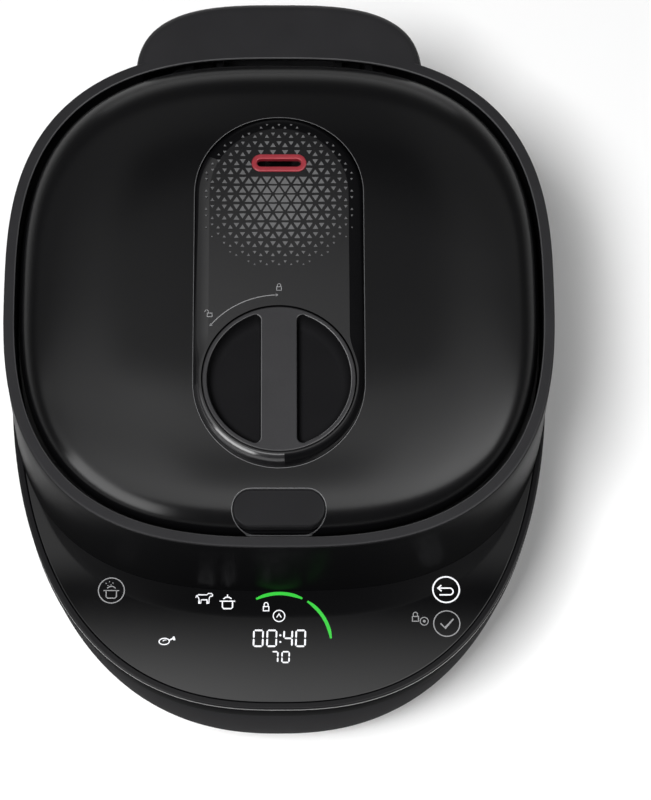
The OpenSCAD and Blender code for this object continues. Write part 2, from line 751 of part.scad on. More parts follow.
module liner_nut() color("#2a2a2c") translate([0, pot_y, 0]) {
    translate([0, 0, liner_z - 7]) cylinder(r = 9, h = 7);
    translate([0, 0, liner_z - 1]) cylinder(r = 3, h = lid_plate_z - liner_z + 3);
    translate([0, 0, liner_z + liner_t]) difference() {
        cylinder(r = 7, h = lid_plate_z - liner_z - liner_t);
        translate([0, 0, -1]) cylinder(r = 2.9, h = 20);
    }
}

module sealing_gasket() color("#d9d7d0") translate([0, pot_y, 0]) rotate_extrude() {
    translate([pot_r - 6, pot_top + 0.4]) square([9.8, gasket_h - 0.5]);
    translate([pot_r - 6, pot_top - 6]) square([3.4, 7]);
    translate([pot_r - 4.3, pot_top - 6]) circle(r = 1.7);
}

module lid_screws() color("#9a9a9a") for (a = boss_angles) translate([0, pot_y, 0]) rotate(a) {
    translate([boss_ring, 0, lid_plate_z - 2]) cylinder(r = 3.6, h = 2);
    translate([boss_ring, 0, lid_plate_z - 1]) cylinder(r = 1.9, h = 11);
}

// ---------- steam cover and valves ----------

module cover_section(half) {
    k = half ? 1 : 2;
    translate([half ? 0 : -cover_hw, cover_low]) square([k * cover_hw, cover_top - cover_round - cover_low]);
    translate([half ? 0 : cover_round - cover_hw, cover_low]) {
        square([k * (cover_hw - cover_round), cover_top - cover_low]);
    }
    for (s = half ? [1] : [-1, 1]) translate([s * (cover_hw - cover_round), cover_top - cover_round]) {
        circle(r = cover_round);
    }
}

module steam_cover() color("#4b4b4f") difference() {
    union() {
        translate([0, cover_back, 0]) rotate_extrude(angle = 180) cover_section(true);
        translate([0, knob_y, 0]) rotate([0, 0, 180]) rotate_extrude(angle = 180) cover_section(true);
        translate([0, cover_back, 0]) rotate([90, 0, 0]) linear_extrude(cover_run) cover_section(false);
        for (s = [-1, 1], y = post_rows) translate([s * post_x, y, lid_base_top]) {
            cylinder(r = 4, h = cover_top - lid_base_top - 2);
        }
        for (a = [60, 120, 240, 300]) translate([0, knob_y, lid_base_top]) rotate(a) {
            translate([knob_r - 8, 0, 0]) cylinder(r = 4, h = well_floor - lid_base_top - 1);
        }
    }
    // Well for the knob
    translate([0, knob_y, well_floor]) cylinder(r = knob_r + 0.6, h = 60);
    translate([0, knob_y, cover_low - 1]) cylinder(r = shaft_r + fit, h = 40);
    // Hollow behind the well
    difference() {
        union() {
            translate([-cover_hw + cover_t, hollow_y, cover_low - 1]) {
                cube([2 * (cover_hw - cover_t), cover_back - hollow_y, cover_top - cover_t - cover_low + 1]);
            }
            translate([0, cover_back, cover_low - 1]) {
                cylinder(r = cover_hw - cover_t, h = cover_top - cover_t - cover_low + 1);
            }
        }
        for (s = [-1, 1], y = post_rows) translate([s * post_x, y, cover_low - 2]) {
            cylinder(r = 4, h = 60);
        }
    }
    translate([0, vent_at, cover_top - 6]) linear_extrude(10) stadium(vent_w + 0.2, vent_d + 0.2);
}

module steam_duct() color("#2a2a2c") translate([0, vent_at, lid_base_top]) difference() {
    translate([-duct_w / 2, -duct_d / 2, 0]) cube([duct_w, duct_d, cover_top - cover_t - lid_base_top]);
    translate([-duct_w / 2 + 1.6, -duct_d / 2 + 1.6, -1]) cube([duct_w - 3.2, duct_d - 3.2, 60]);
}

module vent_ring() color("#b8323c") translate([0, vent_at, cover_top - cover_t - 1]) difference() {
    union() {
        linear_extrude(cover_t + 1.8) stadium(vent_w, vent_d);
        linear_extrude(1) stadium(vent_w + 4, vent_d + 4);
    }
    translate([0, 0, -1]) linear_extrude(10) stadium(slot_w, slot_d);
}

module valve_seat(x, r, bore, low) translate([x, vent_at, 0]) difference() {
    union() {
        translate([0, 0, low]) cylinder(r = r, h = valve_top - low);
        translate([0, 0, lid_base_top]) cylinder(r = r + 3.5, h = 1.8);
    }
    translate([0, 0, low - 1]) cylinder(r = bore, h = 60);
}

module valve_seats() color("#c8cbd0") {
    valve_seat(-valve_x, 7.5, relief_r + fit, liner_z - 3);
    valve_seat(valve_x, 6, float_r + fit, liner_z - 0.5);
}

module valve_shield() color("#c8cbd0") translate([-valve_x, vent_at, liner_z - 12.2]) difference() {
    cylinder(r = 11.5, h = 12);
    translate([0, 0, 1.2]) cylinder(r = 10.3, h = 20);
    for (a = [0:60:300]) rotate(a) translate([6, -1.5, 3]) cube([8, 3, 5.5]);
}

module relief_valve() color("#3a3a3d") translate([-valve_x, vent_at, 0]) {
    translate([0, 0, liner_z - 4]) cylinder(r = relief_r, h = valve_top - liner_z + 6);
    translate([0, 0, valve_top + 0.3]) cylinder(r = 8.5, h = 7);
}

module float_valve() color("#c0443f") translate([valve_x, vent_at, 0]) {
    translate([0, 0, liner_z - 6.8]) cylinder(r = float_r, h = valve_top - liner_z + 12);
    translate([0, 0, liner_z - 7]) cylinder(r = 6, h = 1.8);
    translate([0, 0, valve_top + 0.3]) cylinder(r = 4.6, h = 2);
}

module float_seal() color("#b8323c") translate([valve_x, vent_at, liner_z - 5.2]) difference() {
    cylinder(r = 5, h = 1.1);
    translate([0, 0, -1]) cylinder(r = float_r + 0.05, h = 4);
}

// ---------- knob and lock ----------

module knob_hollow() {
    offset(r = 5) offset(delta = -5) difference() {
        circle(r = knob_r - knob_rim);
        translate([-100, -100]) square([100 + grip_w / 2, 200]);
    }
}

module knob() color("#4f4f53") translate([0, knob_y, well_floor + 0.5]) {
    knob_h = cover_top - well_floor - 0.5;
    difference() {
        union() {
            cylinder(r = knob_r, h = knob_h - 0.6);
            translate([0, 0, knob_h - 0.6]) cylinder(r1 = knob_r, r2 = knob_r - 0.6, h = 0.6);
        }
        both_sides() translate([0, 0, knob_h - grip_depth]) linear_extrude(20) knob_hollow();
        translate([0, 0, -1]) cylinder(r = 3, h = 2.2);
    }
}

module knob_shaft() color("#c8cbd0") translate([0, knob_y, lock_z]) difference() {
    cylinder(r = shaft_r, h = well_floor + 0.5 - lock_z);
    translate([0, 0, -1]) cylinder(r = 1.6, h = 12);
}

// A tooth as wide as half a pitch less its share of backlash, about the angle at
function tooth(r, at, base, tip, slack) =
    let (w = PI * gear_module / 4 - slack / 2)
    [for (p = [[base, -1], [tip, -1], [tip, 1], [base, 1]])
        let (half = w - (p[0] - r) * tan(20), a = at + p[1] * half / p[0] * 180 / PI)
        p[0] * [cos(a), sin(a)]];

module pinion() color("#d8d4c6") translate([0, knob_y, lock_z]) linear_extrude(lock_t) difference() {
    polygon([for (i = [0:pinion_teeth - 1])
        each tooth(pinion_pitch, 270 + i * 360 / pinion_teeth, pinion_pitch - tooth_in,
            pinion_pitch + tooth_out, backlash)]);
    circle(r = shaft_r + 0.05);
}

module lock_ring() color("#9a9ca0") translate([0, pot_y, lock_z]) linear_extrude(lock_t) difference() {
    circle(r = lug_r);
    circle(r = boss_ring + 5.3);
    // Toothed window in front, which the pinion turns
    intersection() {
        circle(r = ring_pitch - tooth_out);
        wedge(270 - mesh_angle - ring_turn - 6, 270 + mesh_angle + 9, 1.5 * lock_r);
    }
    for (i = [-ceil((mesh_angle + ring_turn) / tooth_pitch):ceil((mesh_angle + 6) / tooth_pitch)]) {
        at = 270 + i * tooth_pitch;
        polygon(tooth(ring_pitch, at, ring_pitch - tooth_out - 1, ring_pitch + tooth_in, 0));
    }
    // Gaps between the lugs
    for (i = [0:lug_count - 1]) difference() {
        wedge(i * lug_pitch + lug_angle / 2, (i + 1) * lug_pitch - lug_angle / 2, 1.4 * lock_r);
        circle(r = lock_r);
    }
}

// ---------- release button and latch ----------

module release_button() color("#35353a") difference() {
    union() {
        translate([0, button_y, button_z]) linear_extrude(20) stadium(button_w, button_d);
        translate([0, latch_y - latch_arm, latch_z + 0.3]) cylinder(r = 1.5, h = button_z - latch_z);
        for (s = [-1, 1]) translate([s * 15, button_y, button_z - 3]) cylinder(r = 1.8, h = 4);
    }
    translate([0, button_y + button_d / 2, button_back_z]) rotate([button_slope, 0, 0]) {
        translate([-50, -60, 0]) cube([100, 90, 30]);
    }
}

module button_springs() color("#8f9296") both_sides() {
    translate([15, button_y, lid_base_top]) coil(2.9, 0.5, 5, button_z - lid_base_top, steps = 10);
}

module latch_hook() color("#a8abb0") side_plate(0, latch_w) difference() {
    leg_y = latch_y - latch_arm - 1.7;
    union() {
        translate([latch_y, latch_z]) circle(r = latch_boss);
        // Arm under the button
        translate([leg_y, latch_z - 3]) square([latch_y - leg_y, 3]);
        // Leg and nose that reach under the striker
        translate([leg_y, striker_z - 4]) square([3.2, latch_z - striker_z + 4]);
        translate([striker_y + gap, striker_z - 4]) square([leg_y + 1 - striker_y - gap, 3.2]);
    }
    translate([latch_y, latch_z]) circle(r = 1.5 + fit);
}

module latch_pin() color("#b9bcc0") translate([0, latch_y, latch_z]) rotate([0, 90, 0]) {
    cylinder(r = 1.5, h = latch_w + 8, center = true);
}

lower_shell();
bottom_cover();
rubber_feet();
base_screws();
rim_belt();
bezel();
control_panel();
panel_tray();
control_board();
display_module();
touch_pads();
upper_frame();
top_deck();
catch_ring();
latch_striker();
outer_pot();
inner_pot();
heating_plate();
heating_element();
sensor_holder();
sensor_cap();
sensor_spring();
power_board();
power_inlet();
inlet_pins();
cup_sleeve();
condensate_cup();
hinge_bracket();
hinge_pin();
hinge_springs();
hinge_arms();
lid_dome();
lid_base();
lid_plate();
inner_lid();
liner_nut();
sealing_gasket();
steam_cover();
steam_duct();
vent_ring();
valve_seats();
valve_shield();
relief_valve();
float_valve();
float_seal();
knob();
knob_shaft();
pinion();
lock_ring();
release_button();
button_springs();
latch_hook();
latch_pin();
lid_screws();
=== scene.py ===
import bisect
import math

import bpy
import bmesh
from mathutils import Vector, Matrix
from mathutils.geometry import tessellate_polygon


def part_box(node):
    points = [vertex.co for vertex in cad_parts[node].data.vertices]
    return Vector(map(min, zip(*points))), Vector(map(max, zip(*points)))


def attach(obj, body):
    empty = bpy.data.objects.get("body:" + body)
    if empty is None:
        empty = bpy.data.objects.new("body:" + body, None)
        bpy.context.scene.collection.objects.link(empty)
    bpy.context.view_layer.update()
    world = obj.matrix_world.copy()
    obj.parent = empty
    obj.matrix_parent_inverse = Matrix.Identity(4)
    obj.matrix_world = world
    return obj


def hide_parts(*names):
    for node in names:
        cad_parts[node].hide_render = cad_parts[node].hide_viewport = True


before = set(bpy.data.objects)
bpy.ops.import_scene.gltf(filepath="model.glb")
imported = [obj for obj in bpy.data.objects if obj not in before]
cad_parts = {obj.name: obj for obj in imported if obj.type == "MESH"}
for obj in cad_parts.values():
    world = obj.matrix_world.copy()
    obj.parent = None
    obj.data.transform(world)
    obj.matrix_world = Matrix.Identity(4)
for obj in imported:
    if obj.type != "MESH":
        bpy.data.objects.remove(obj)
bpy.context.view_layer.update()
MM = 0.001

# Sizes in millimetres, the same as the CAD model's
POT_Y = 22.0
RING = dict(hw=156.0, front=152.3, back=150.8, n=2.75)
SKIRT = dict(hw=158.0, front=155.9, back=152.0, n=2.85)
BELT = dict(hw=158.0, front=225.5, back=152.0, n=2.5)
BASE = dict(hw=148.0, front=204.0, back=144.0, n=2.3)
DOME = dict(hw=147.4, front=143.7, back=140.3, n=2.75)
RING_TOP, FRAME_Z, SHELL_TOP, BELT_TOP, PANEL_TOP = 240.0, 163.0, 145.0, 159.5, 162.5
RING_FACE, SKIRT_WALL = 6.2, 2.8
HOOD_HW, HOOD_BACK, HOOD_Y = 84, 204, POT_Y + 128.0
# Height of the dome's edge, its rise above that, and how much more it rises per millimetre to the back
DOME_EDGE, DOME_RISE, DOME_TILT, DOME_WALL = 234.0, 35.5, 0.0363, 2.6
KNOB_Y, COVER_BACK, COVER_TOP, COVER_HW = -43.0, 67.6, 272.0, 47.0
KNOB_R, KNOB_LOW, HOLLOW_R = 42.2, 257.3, 39.6
COVER_LOW, WELL_R, WELL_LOW, SHAFT_BORE_R = 250.0, 42.8, 256.8, 6.06
VENT_Y, VENT_W, VENT_D = 85.5, 31.2, 10.9
BUTTON_Y, BUTTON_W, BUTTON_D = -111.3, 50.6, 19.6
SHELL_WALL, PANEL_INSET = 2.6, 4.3

COUNT = 288  # points round the body's outlines
ROUND = 192  # points round the knob and its well
BUMP_DEPTH = 0.0004  # of the materials' fine grain, in metres
MERGE = 1e-6  # edges shorter than this, in metres, are closed up


# ---------- outlines ----------

def spow(v, e):
    """Power of v's size, with v's sign."""
    return math.copysign(abs(v) ** e, v)


def outline(p, inset=0.0, count=240):
    """Rounded body outline about the pot axis, as (x, y) points, counter-clockwise from +X."""
    pts = []
    for i in range(count):
        a = 2 * math.pi * i / count
        c, s = math.cos(a), math.sin(a)
        reach = p["front"] if s < 0 else p["back"]
        pts.append(((p["hw"] - inset) * spow(c, 2 / p["n"]), POT_Y + (reach - inset) * spow(s, 2 / p["n"])))
    return pts


def mixed(p, q, k):
    """Outline sizes a share k of the way from p to q."""
    return {key: p[key] + (q[key] - p[key]) * k for key in p}


def shell_at(z):
    """Outline sizes of the lower shell at a height."""
    top = dict(hw=BELT["hw"] - 0.8, front=BELT["front"] - 0.8, back=BELT["back"] - 0.8, n=BELT["n"])
    return mixed(BASE, top, 1 - (1 - z / SHELL_TOP) ** 1.8)


def circle(x, y, r, count=96, start=0.0):
    """Points of a circle, counter-clockwise."""
    return [(x + r * math.cos(start + 2 * math.pi * i / count),
             y + r * math.sin(start + 2 * math.pi * i / count))
            for i in range(count)]


def arc(x, y, r, a0, a1, steps):
    """Points on an arc, angles in degrees, both ends included."""
    return [(x + r * math.cos(math.radians(a0 + (a1 - a0) * i / steps)),
             y + r * math.sin(math.radians(a0 + (a1 - a0) * i / steps))) for i in range(steps + 1)]


def stadium(x, y, w, d, inset=0.0, steps=20):
    """Stadium along X, counter-clockwise."""
    r, h = d / 2 - inset, (w - d) / 2
    return arc(x + h, y, r, -90, 90, steps) + arc(x - h, y, r, 90, 270, steps)


def pill(hw, y0, y1, inset=0.0, steps=48, sides=0):
    """Pill along Y, counter-clockwise, with points along its straight sides if asked for."""
    w = hw - inset
    down = [(-w, y1 + (y0 - y1) * i / (sides + 1)) for i in range(1, sides + 1)]
    up = [(w, y0 + (y1 - y0) * i / (sides + 1)) for i in range(1, sides + 1)]
    return arc(0, y1, w, 0, 180, steps) + down + arc(0, y0, w, 180, 360, steps) + up


def half_moon(side, inset=0.0, radius=HOLLOW_R):
    """One finger hollow of the knob, about the knob's axis."""
    edge, corner = 9.85, 3.2
    cx = edge + corner
    cy = math.sqrt((radius - corner) ** 2 - cx ** 2)
    turn = math.degrees(math.atan2(cy, cx))
    pts = arc(0, 0, radius - inset, -turn, turn, 30)
    pts += arc(cx, cy, corner - inset, turn, 180, 8)[1:]
    pts += arc(cx, -cy, corner - inset, 180, 360 - turn, 8)[:-1]
    pts = [(x, y + KNOB_Y) for x, y in pts]
    return pts if side > 0 else [(-x, y) for x, y in reversed(pts)]


# ---------- mesh building ----------

class Shape:
    """Collects rings of points in millimetres and makes a mesh of them."""

    def __init__(self):
        self.v, self.f, self.flat = [], [], []

    def ring(self, pts, z):
        """Add points at a height, which may be a function of x and y; gives their numbers."""
        start = len(self.v)
        for p in pts:
            self.v.append((p[0], p[1], z(p[0], p[1]) if callable(z) else z))
        return list(range(start, len(self.v)))

    def bridge(self, a, b):
        """Quads between two counter-clockwise rings; they face outwards when a is below b."""
        n = len(a)
        for i in range(n):
            j = (i + 1) % n
            self.f.append((a[i], a[j], b[j], b[i]))
            self.flat.append(False)

    def strip(self, rings):
        """Bridge each ring with the next."""
        for a, b in zip(rings, rings[1:]):
            self.bridge(a, b)
        return rings

    def fill(self, loops, up=True):
        """Flat face between an outer loop and the holes in it."""
        idx = [i for loop in loops for i in loop]
        tris = tessellate_polygon([[Vector((self.v[i][0], self.v[i][1], 0)) for i in loop] for loop in loops])
        for t in tris:
            a, b, c = (Vector(self.v[idx[k]]) for k in t)
            if (b - a).cross(c - a).length < 1e-9:
                continue
            t = [idx[k] for k in t]
            if ((b - a).cross(c - a).z > 0) != up:
                t.reverse()
            self.f.append(tuple(t))
            self.flat.append(True)

    def mesh(self, name):
        """Mesh of what was collected, in metres."""
        me = bpy.data.meshes.new(name)
        me.from_pydata([(x * MM, y * MM, z * MM) for x, y, z in self.v], [], self.f)
        me.validate()
        me.polygons.foreach_set("use_smooth", [not k for k in self.flat][:len(me.polygons)])
        me.update()
        return me


def round_edge(r, steps=6):
    """(inset, drop) pairs of a quarter round, from the flat top down to the side."""
    return [(r * (1 - math.sin(a)), r * (1 - math.cos(a))) for a in
            (math.pi / 2 * i / steps for i in range(steps + 1))]


def link(name, me):
    """Object of that data in the scene."""
    ob = bpy.data.objects.new(name, me)
    bpy.context.scene.collection.objects.link(ob)
    return ob


def face_outward(ob):
    """Turn every face's normal outwards."""
    bm = bmesh.new()
    bm.from_mesh(ob.data)
    bmesh.ops.recalc_face_normals(bm, faces=bm.faces)
    bm.to_mesh(ob.data)
    bm.free()


def settle(ob, angle=38):
    """Smooth shading with sharp edges where faces meet steeply; level faces stay flat."""
    me = ob.data
    bm = bmesh.new()
    bm.from_mesh(me)
    bmesh.ops.dissolve_degenerate(bm, dist=MERGE, edges=bm.edges)
    bm.to_mesh(me)
    bm.free()
    me.set_sharp_from_angle(angle=math.radians(angle))
    me.polygons.foreach_set("use_smooth", [abs(p.normal.z) < 0.99995 for p in me.polygons])
    me.update()
    return ob


def cut(ob, cutters, operation="DIFFERENCE"):
    """Apply solids to ob one after another and delete them."""
    for c in cutters:
        m = ob.modifiers.new("cut", "BOOLEAN")
        m.operation, m.solver, m.object = operation, "EXACT", c
        bpy.context.view_layer.update()
        dg = bpy.context.evaluated_depsgraph_get()
        me = bpy.data.meshes.new_from_object(ob.evaluated_get(dg))
        ob.modifiers.clear()
        old = ob.data
        ob.data = me
        bpy.data.meshes.remove(old)
        cm = c.data
        bpy.data.objects.remove(c)
        bpy.data.meshes.remove(cm)
    return ob


def stack(name, rings):
    """Closed solid through (points, z) rings from the bottom up."""
    s = Shape()
    made = s.strip([s.ring(p, z) for p, z in rings])
    s.fill([made[0]], up=False)
    s.fill([made[-1]], up=True)
    return link(name, s.mesh(name))


def prism(name, pts, z0, z1):
    """Upright solid on one outline."""
    return stack(name, [(pts, z0), (pts, z1)])


def tube(name, rings):
    """Closed loop of rings: up the outside, over and down the inside."""
    s = Shape()
    made = [s.ring(p, z) for p, z in rings]
    s.strip(made + [made[0]])
    return link(name, s.mesh(name))


def dress(ob, body, slot, *mats):
    """Give a piece its materials and its body; slot is not used."""
    ob.data.materials.clear()
    for mat in mats:
        ob.data.materials.append(mat)
    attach(ob, body)


def piece(ob, body, slot, mats, *replaced, angle=38):
    """Finish a mesh as a visible piece, in place of the CAD nodes named."""
    settle(ob, angle)
    dress(ob, body, slot, *(mats if isinstance(mats, tuple) else (mats,)))
    if replaced:
        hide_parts(*replaced)


# ---------- materials ----------

def put(target, value):
    """Fill a shader input with a value, or link it to another node's output."""
    if isinstance(value, bpy.types.NodeSocket):
        target.id_data.links.new(value, target)
    else:
        target.default_value = value


def node(nt, kind, inputs, **settings):
    """New shader node with these inputs and settings; gives its first output."""
    n = nt.nodes.new("ShaderNode" + kind)
    for key, value in settings.items():
        setattr(n, key, value)
    for key, value in inputs.items():
        put(n.inputs[key], value)
    return n.outputs[0]


def maths(nt, operation, *values):
    """Output of a new math node on those values or sockets."""
    return node(nt, "Math", dict(enumerate(values)), operation=operation)


def place(nt):
    """The shaded point, in its object's own coordinates."""
    return nt.nodes.new("ShaderNodeTexCoord").outputs["Object"]


def ramp(nt, fac, stops):
    """Colour ramp through (position, colour) stops."""
    out = node(nt, "ValToRGB", {"Fac": fac})
    els = out.node.color_ramp.elements
    for i, (at, color) in enumerate(stops):
        el = els[0] if i == 0 else (els[-1] if i == len(stops) - 1 else els.new(at))
        el.position, el.color = at, tuple(color) + (1,)
    return out


def material(name, color, rough, metallic=0.0, vary=0.12, grain=900.0, mottle=35.0, bump=0.02,
             rough_vary=0.06, stretch=(1, 1, 1), ior=None):
    """Principled material whose colour, roughness and height all carry procedural variation."""
    m = bpy.data.materials.new(name)
    m.use_nodes = True
    nt = m.node_tree
    shader = nt.nodes["Principled BSDF"].inputs
    scaled = node(nt, "Mapping", {"Vector": place(nt), "Scale": stretch})
    big = node(nt, "TexNoise", {"Vector": scaled, "Scale": mottle, "Detail": 4})
    fine = node(nt, "TexNoise", {"Vector": scaled, "Scale": grain, "Detail": 3})
    both = maths(nt, "MULTIPLY_ADD", fine, 0.5, maths(nt, "MULTIPLY", big, 0.5))
    put(shader["Base Color"], ramp(nt, both, [(0.3, [c * (1 - vary) for c in color]),
                                              (0.7, [min(1, c * (1 + vary)) for c in color])]))
    put(shader["Roughness"], node(nt, "MapRange", {
        "Value": both, "From Min": 0.25, "From Max": 0.75,
        "To Min": max(0.02, rough - rough_vary), "To Max": min(1.0, rough + rough_vary)}))
    put(shader["Normal"], node(nt, "Bump", {"Strength": bump, "Distance": BUMP_DEPTH, "Height": fine}))
    put(shader["Metallic"], metallic)
    if ior:
        put(shader["IOR"], ior)
    return m


def glowing(name, color, strength, base=0.6):
    """Printed or lit mark: diffuse body with a little light of its own, uneven as a lamp behind a mask."""
    m = material(name, [c * base for c in color], 0.4, bump=0.0)
    nt = m.node_tree
    shader = nt.nodes["Principled BSDF"].inputs
    uneven = node(nt, "TexNoise", {"Vector": place(nt), "Scale": 160})
    put(shader["Emission Color"], ramp(nt, uneven, [(0.0, [c * 0.9 for c in color]), (1.0, color)]))
    put(shader["Emission Strength"], strength)
    return m


M_FRAME = material("frame_plastic", (0.0165, 0.0163, 0.0176), 0.36, bump=0.05, grain=1400, ior=1.22)
# Light copy of the frame plastic for the ring's inner edge: painted highlight
M_RING_HIGHLIGHT = material("frame_edge_painted_highlight", (0.055, 0.055, 0.057), 0.25, bump=0.01, grain=1400, ior=1.25)
# Darker copies of the frame plastic for faces that turn from the top and for upright faces: painted shade
M_TURN_SHADE = material("frame_turn_painted_shade", (0.0085, 0.0084, 0.0091), 0.35, bump=0.05, grain=1400, ior=1.14)
M_SIDE_SHADE = material("frame_side_painted_shade", (0.0030, 0.0030, 0.0034), 0.34, bump=0.04, grain=1400, ior=1.06)
M_DOME = material("lid_plastic", (0.0024, 0.0024, 0.0027), 0.21, bump=0.03, grain=1500, mottle=18, ior=1.28,
                  rough_vary=0.03)
M_COVER = material("cover_plastic", (0.0050, 0.0049, 0.0055), 0.17, bump=0.04, grain=1400, ior=1.60,
                   rough_vary=0.02)
M_KNOB = material("knob_plastic", (0.0220, 0.0217, 0.0232), 0.40, bump=0.06, grain=1300, ior=1.30)
# Darker copy of the knob plastic for the finger hollows: painted shade
M_HOLLOW_SHADE = material("knob_hollow", (0.0088, 0.0087, 0.0094), 0.45, bump=0.05, grain=1300, ior=1.04)
# Near black for the hinge parts where they show in the gap behind the lid: painted shade
M_GAP_SHADE = material("gap_painted_shade", (0.0060, 0.0060, 0.0065), 0.45, bump=0.04, grain=900, ior=1.15)
# The next two are copies of the cover plastic for its soft edge: a darker one on the right and the back as
# painted shade, and a lighter one at the front left as painted highlight
M_SHADE = material("cover_side_painted_shade", (0.0030, 0.0030, 0.0034), 0.30, bump=0.03, grain=1400, ior=1.10)
M_EDGE_HIGHLIGHT = material("edge_painted_highlight", (0.0140, 0.0138, 0.0148), 0.17, bump=0.01, grain=1400, ior=1.62,
                  rough_vary=0.03)
# Light lines on the knob's edges: painted highlight
M_HIGHLIGHT_LINE = material("painted_highlight_line", (0.130, 0.130, 0.133), 0.22, bump=0.01, grain=1400, ior=1.3)
M_RIM = material("knob_rim", (0.0150, 0.0148, 0.0158), 0.22, bump=0.02, grain=1400, ior=1.40, rough_vary=0.03)
M_PANEL = material("panel_gloss", (0.0016, 0.0016, 0.0019), 0.06, bump=0.0, rough_vary=0.015, vary=0.05,
                   ior=1.42)
M_BEZEL = material("bezel_plastic", (0.0045, 0.0044, 0.0050), 0.20, bump=0.02, grain=1500, ior=1.22,
                   rough_vary=0.03)
M_BELT = material("belt_gloss", (0.0060, 0.0060, 0.0066), 0.30, bump=0.01, rough_vary=0.03, ior=1.01)
M_SHELL = material("shell_plastic", (0.0260, 0.0257, 0.0272), 0.52, bump=0.06, grain=1300, ior=1.02)
M_BUTTON = material("button_plastic", (0.0085, 0.0084, 0.0092), 0.40, bump=0.05, grain=1400, ior=1.15)
# Dark steel for the latch parts where they show in the gap in front of the lid: painted shade
M_GAP_SHADE_STEEL = material("steel_painted_shade", (0.045, 0.045, 0.047), 0.45, metallic=1.0, grain=400, vary=0.15,
                     bump=0.05)
# Light band standing round the cover and the button: painted highlight
M_HIGHLIGHT_BAND = material("band_painted_highlight", (0.085, 0.085, 0.088), 0.25, bump=0.01)
M_RED = material("red_silicone", (0.22, 0.012, 0.021), 0.38, bump=0.05, grain=700, vary=0.08)
M_INNER = material("inner_plastic", (0.020, 0.020, 0.021), 0.5, bump=0.08, grain=1100)
M_STEEL = material("brushed_steel", (0.56, 0.56, 0.57), 0.30, metallic=1.0, grain=60, mottle=8, vary=0.06,
                   bump=0.05, stretch=(1, 1, 30))
M_CAST = material("cast_alloy", (0.50, 0.50, 0.51), 0.42, metallic=1.0, grain=500, vary=0.08, bump=0.12)
M_ZINC = material("zinc_steel", (0.46, 0.47, 0.49), 0.36, metallic=1.0, grain=350, mottle=60, vary=0.12,
                  bump=0.05)
M_SPRING = material("spring_steel", (0.42, 0.42, 0.43), 0.28, metallic=1.0, grain=600, vary=0.08)
M_SILICONE = material("silicone", (0.62, 0.61, 0.57), 0.48, bump=0.04, grain=500, vary=0.05)
M_RUBBER = material("rubber", (0.014, 0.014, 0.014), 0.75, bump=0.15, grain=900)
M_BOARD = material("circuit_board", (0.015, 0.075, 0.028), 0.38, bump=0.10, grain=260, vary=0.35, mottle=120)
M_GEAR = material("gear_plastic", (0.60, 0.57, 0.50), 0.45, bump=0.04, vary=0.05)
M_BRASS = material("brass", (0.72, 0.52, 0.24), 0.25, metallic=1.0, grain=400, vary=0.07)
M_DARK = material("display_black", (0.006, 0.006, 0.007), 0.12, bump=0.0, rough_vary=0.02)

M_MARK_WHITE = glowing("mark_white", (0.95, 0.96, 1.0), 0.52, base=0.5)
M_MARK_GREY = glowing("mark_grey", (0.42, 0.42, 0.43), 0.16, base=0.45)
M_MARK_GREEN = glowing("mark_green", (0.020, 0.52, 0.030), 0.62, base=0.45)
M_PRINT = material("grey_print", (0.092, 0.092, 0.094), 0.45, bump=0.0, ior=1.3)
M_MARK_PRINT = material("mark_print", (0.22, 0.22, 0.225), 0.45, bump=0.0, ior=1.3)


# ---------- upper frame: ring, skirt and rear hood ----------

def skirt_ring(k, inset):
    """Outline of the frame a share k of the way up from the skirt to the ring."""
    return outline(mixed(SKIRT, RING, k), inset, COUNT)


def frame_profile():
    """(height share, inset, z) up the outside, over the ring's face and down the inside."""
    h = RING_TOP - FRAME_Z
    rows = [(k, 0.0, FRAME_Z + k * h) for k in (0.0, 0.15, 0.4, 0.65, 0.85)]
    rows += [(1 - d / h, i, RING_TOP - d) for i, d in reversed(round_edge(1.3))]
    rows += [(1, RING_FACE - 3, RING_TOP)]
    rows += [(1 - d / h, RING_FACE - i, RING_TOP - d) for i, d in round_edge(0.9)]
    rows += [(0.9, RING_FACE, 231.0), (0.7, RING_FACE, 217.0)]
    rows += [(k, SKIRT_WALL, z) for k, z in ((0.65, 213.0), (0.3, 190.0), (0.0, FRAME_Z))]
    return rows


def hood_loop(hw, back, front_y):
    """Hood outline: a rounded back, and straight sides that run forward to front_y."""
    count = 96
    turns = [math.pi * i / count for i in range(count + 1)]
    pts = [(hw * spow(math.cos(a), 2 / 3), HOOD_Y + (back - HOOD_Y) * math.sin(a) ** (2 / 3)) for a in turns]
    return pts + [(-hw, front_y), (hw, front_y)]


def hood_rows():
    """(z, drawn in at the sides, drawn in at the back) of the hood: a smooth belly and a rounded top edge."""
    knots = [(172.0, 4.0, 28.0), (179.0, 2.0, 14.0), (188.0, 0.8, 4.5), (204.0, 0.05, 0.8), (231.0, 0.0, 0.0)]
    rows = []
    for (z0, a0, b0), (z1, a1, b1) in zip(knots, knots[1:]):
        rows += [(z0 + (z1 - z0) * t / 4, a0 + (a1 - a0) * t / 4, b0 + (b1 - b0) * t / 4) for t in range(4)]
    smooth = []
    for i, row in enumerate(rows):
        near = rows[max(0, i - 3):i + 4] if 2 < i < len(rows) - 1 else [row]
        smooth.append((row[0], sum(r[1] for r in near) / len(near), sum(r[2] for r in near) / len(near)))
    smooth += [(RING_TOP - d, i, i) for i, d in reversed(round_edge(7.0, 10))]
    return smooth


def hood_solid(name, front_y, rows):
    """Hood-shaped solid through (z, drawn in at the sides, drawn in at the back) rows."""
    return stack(name, [(hood_loop(HOOD_HW - a, HOOD_BACK - b, front_y), z) for z, a, b in rows])


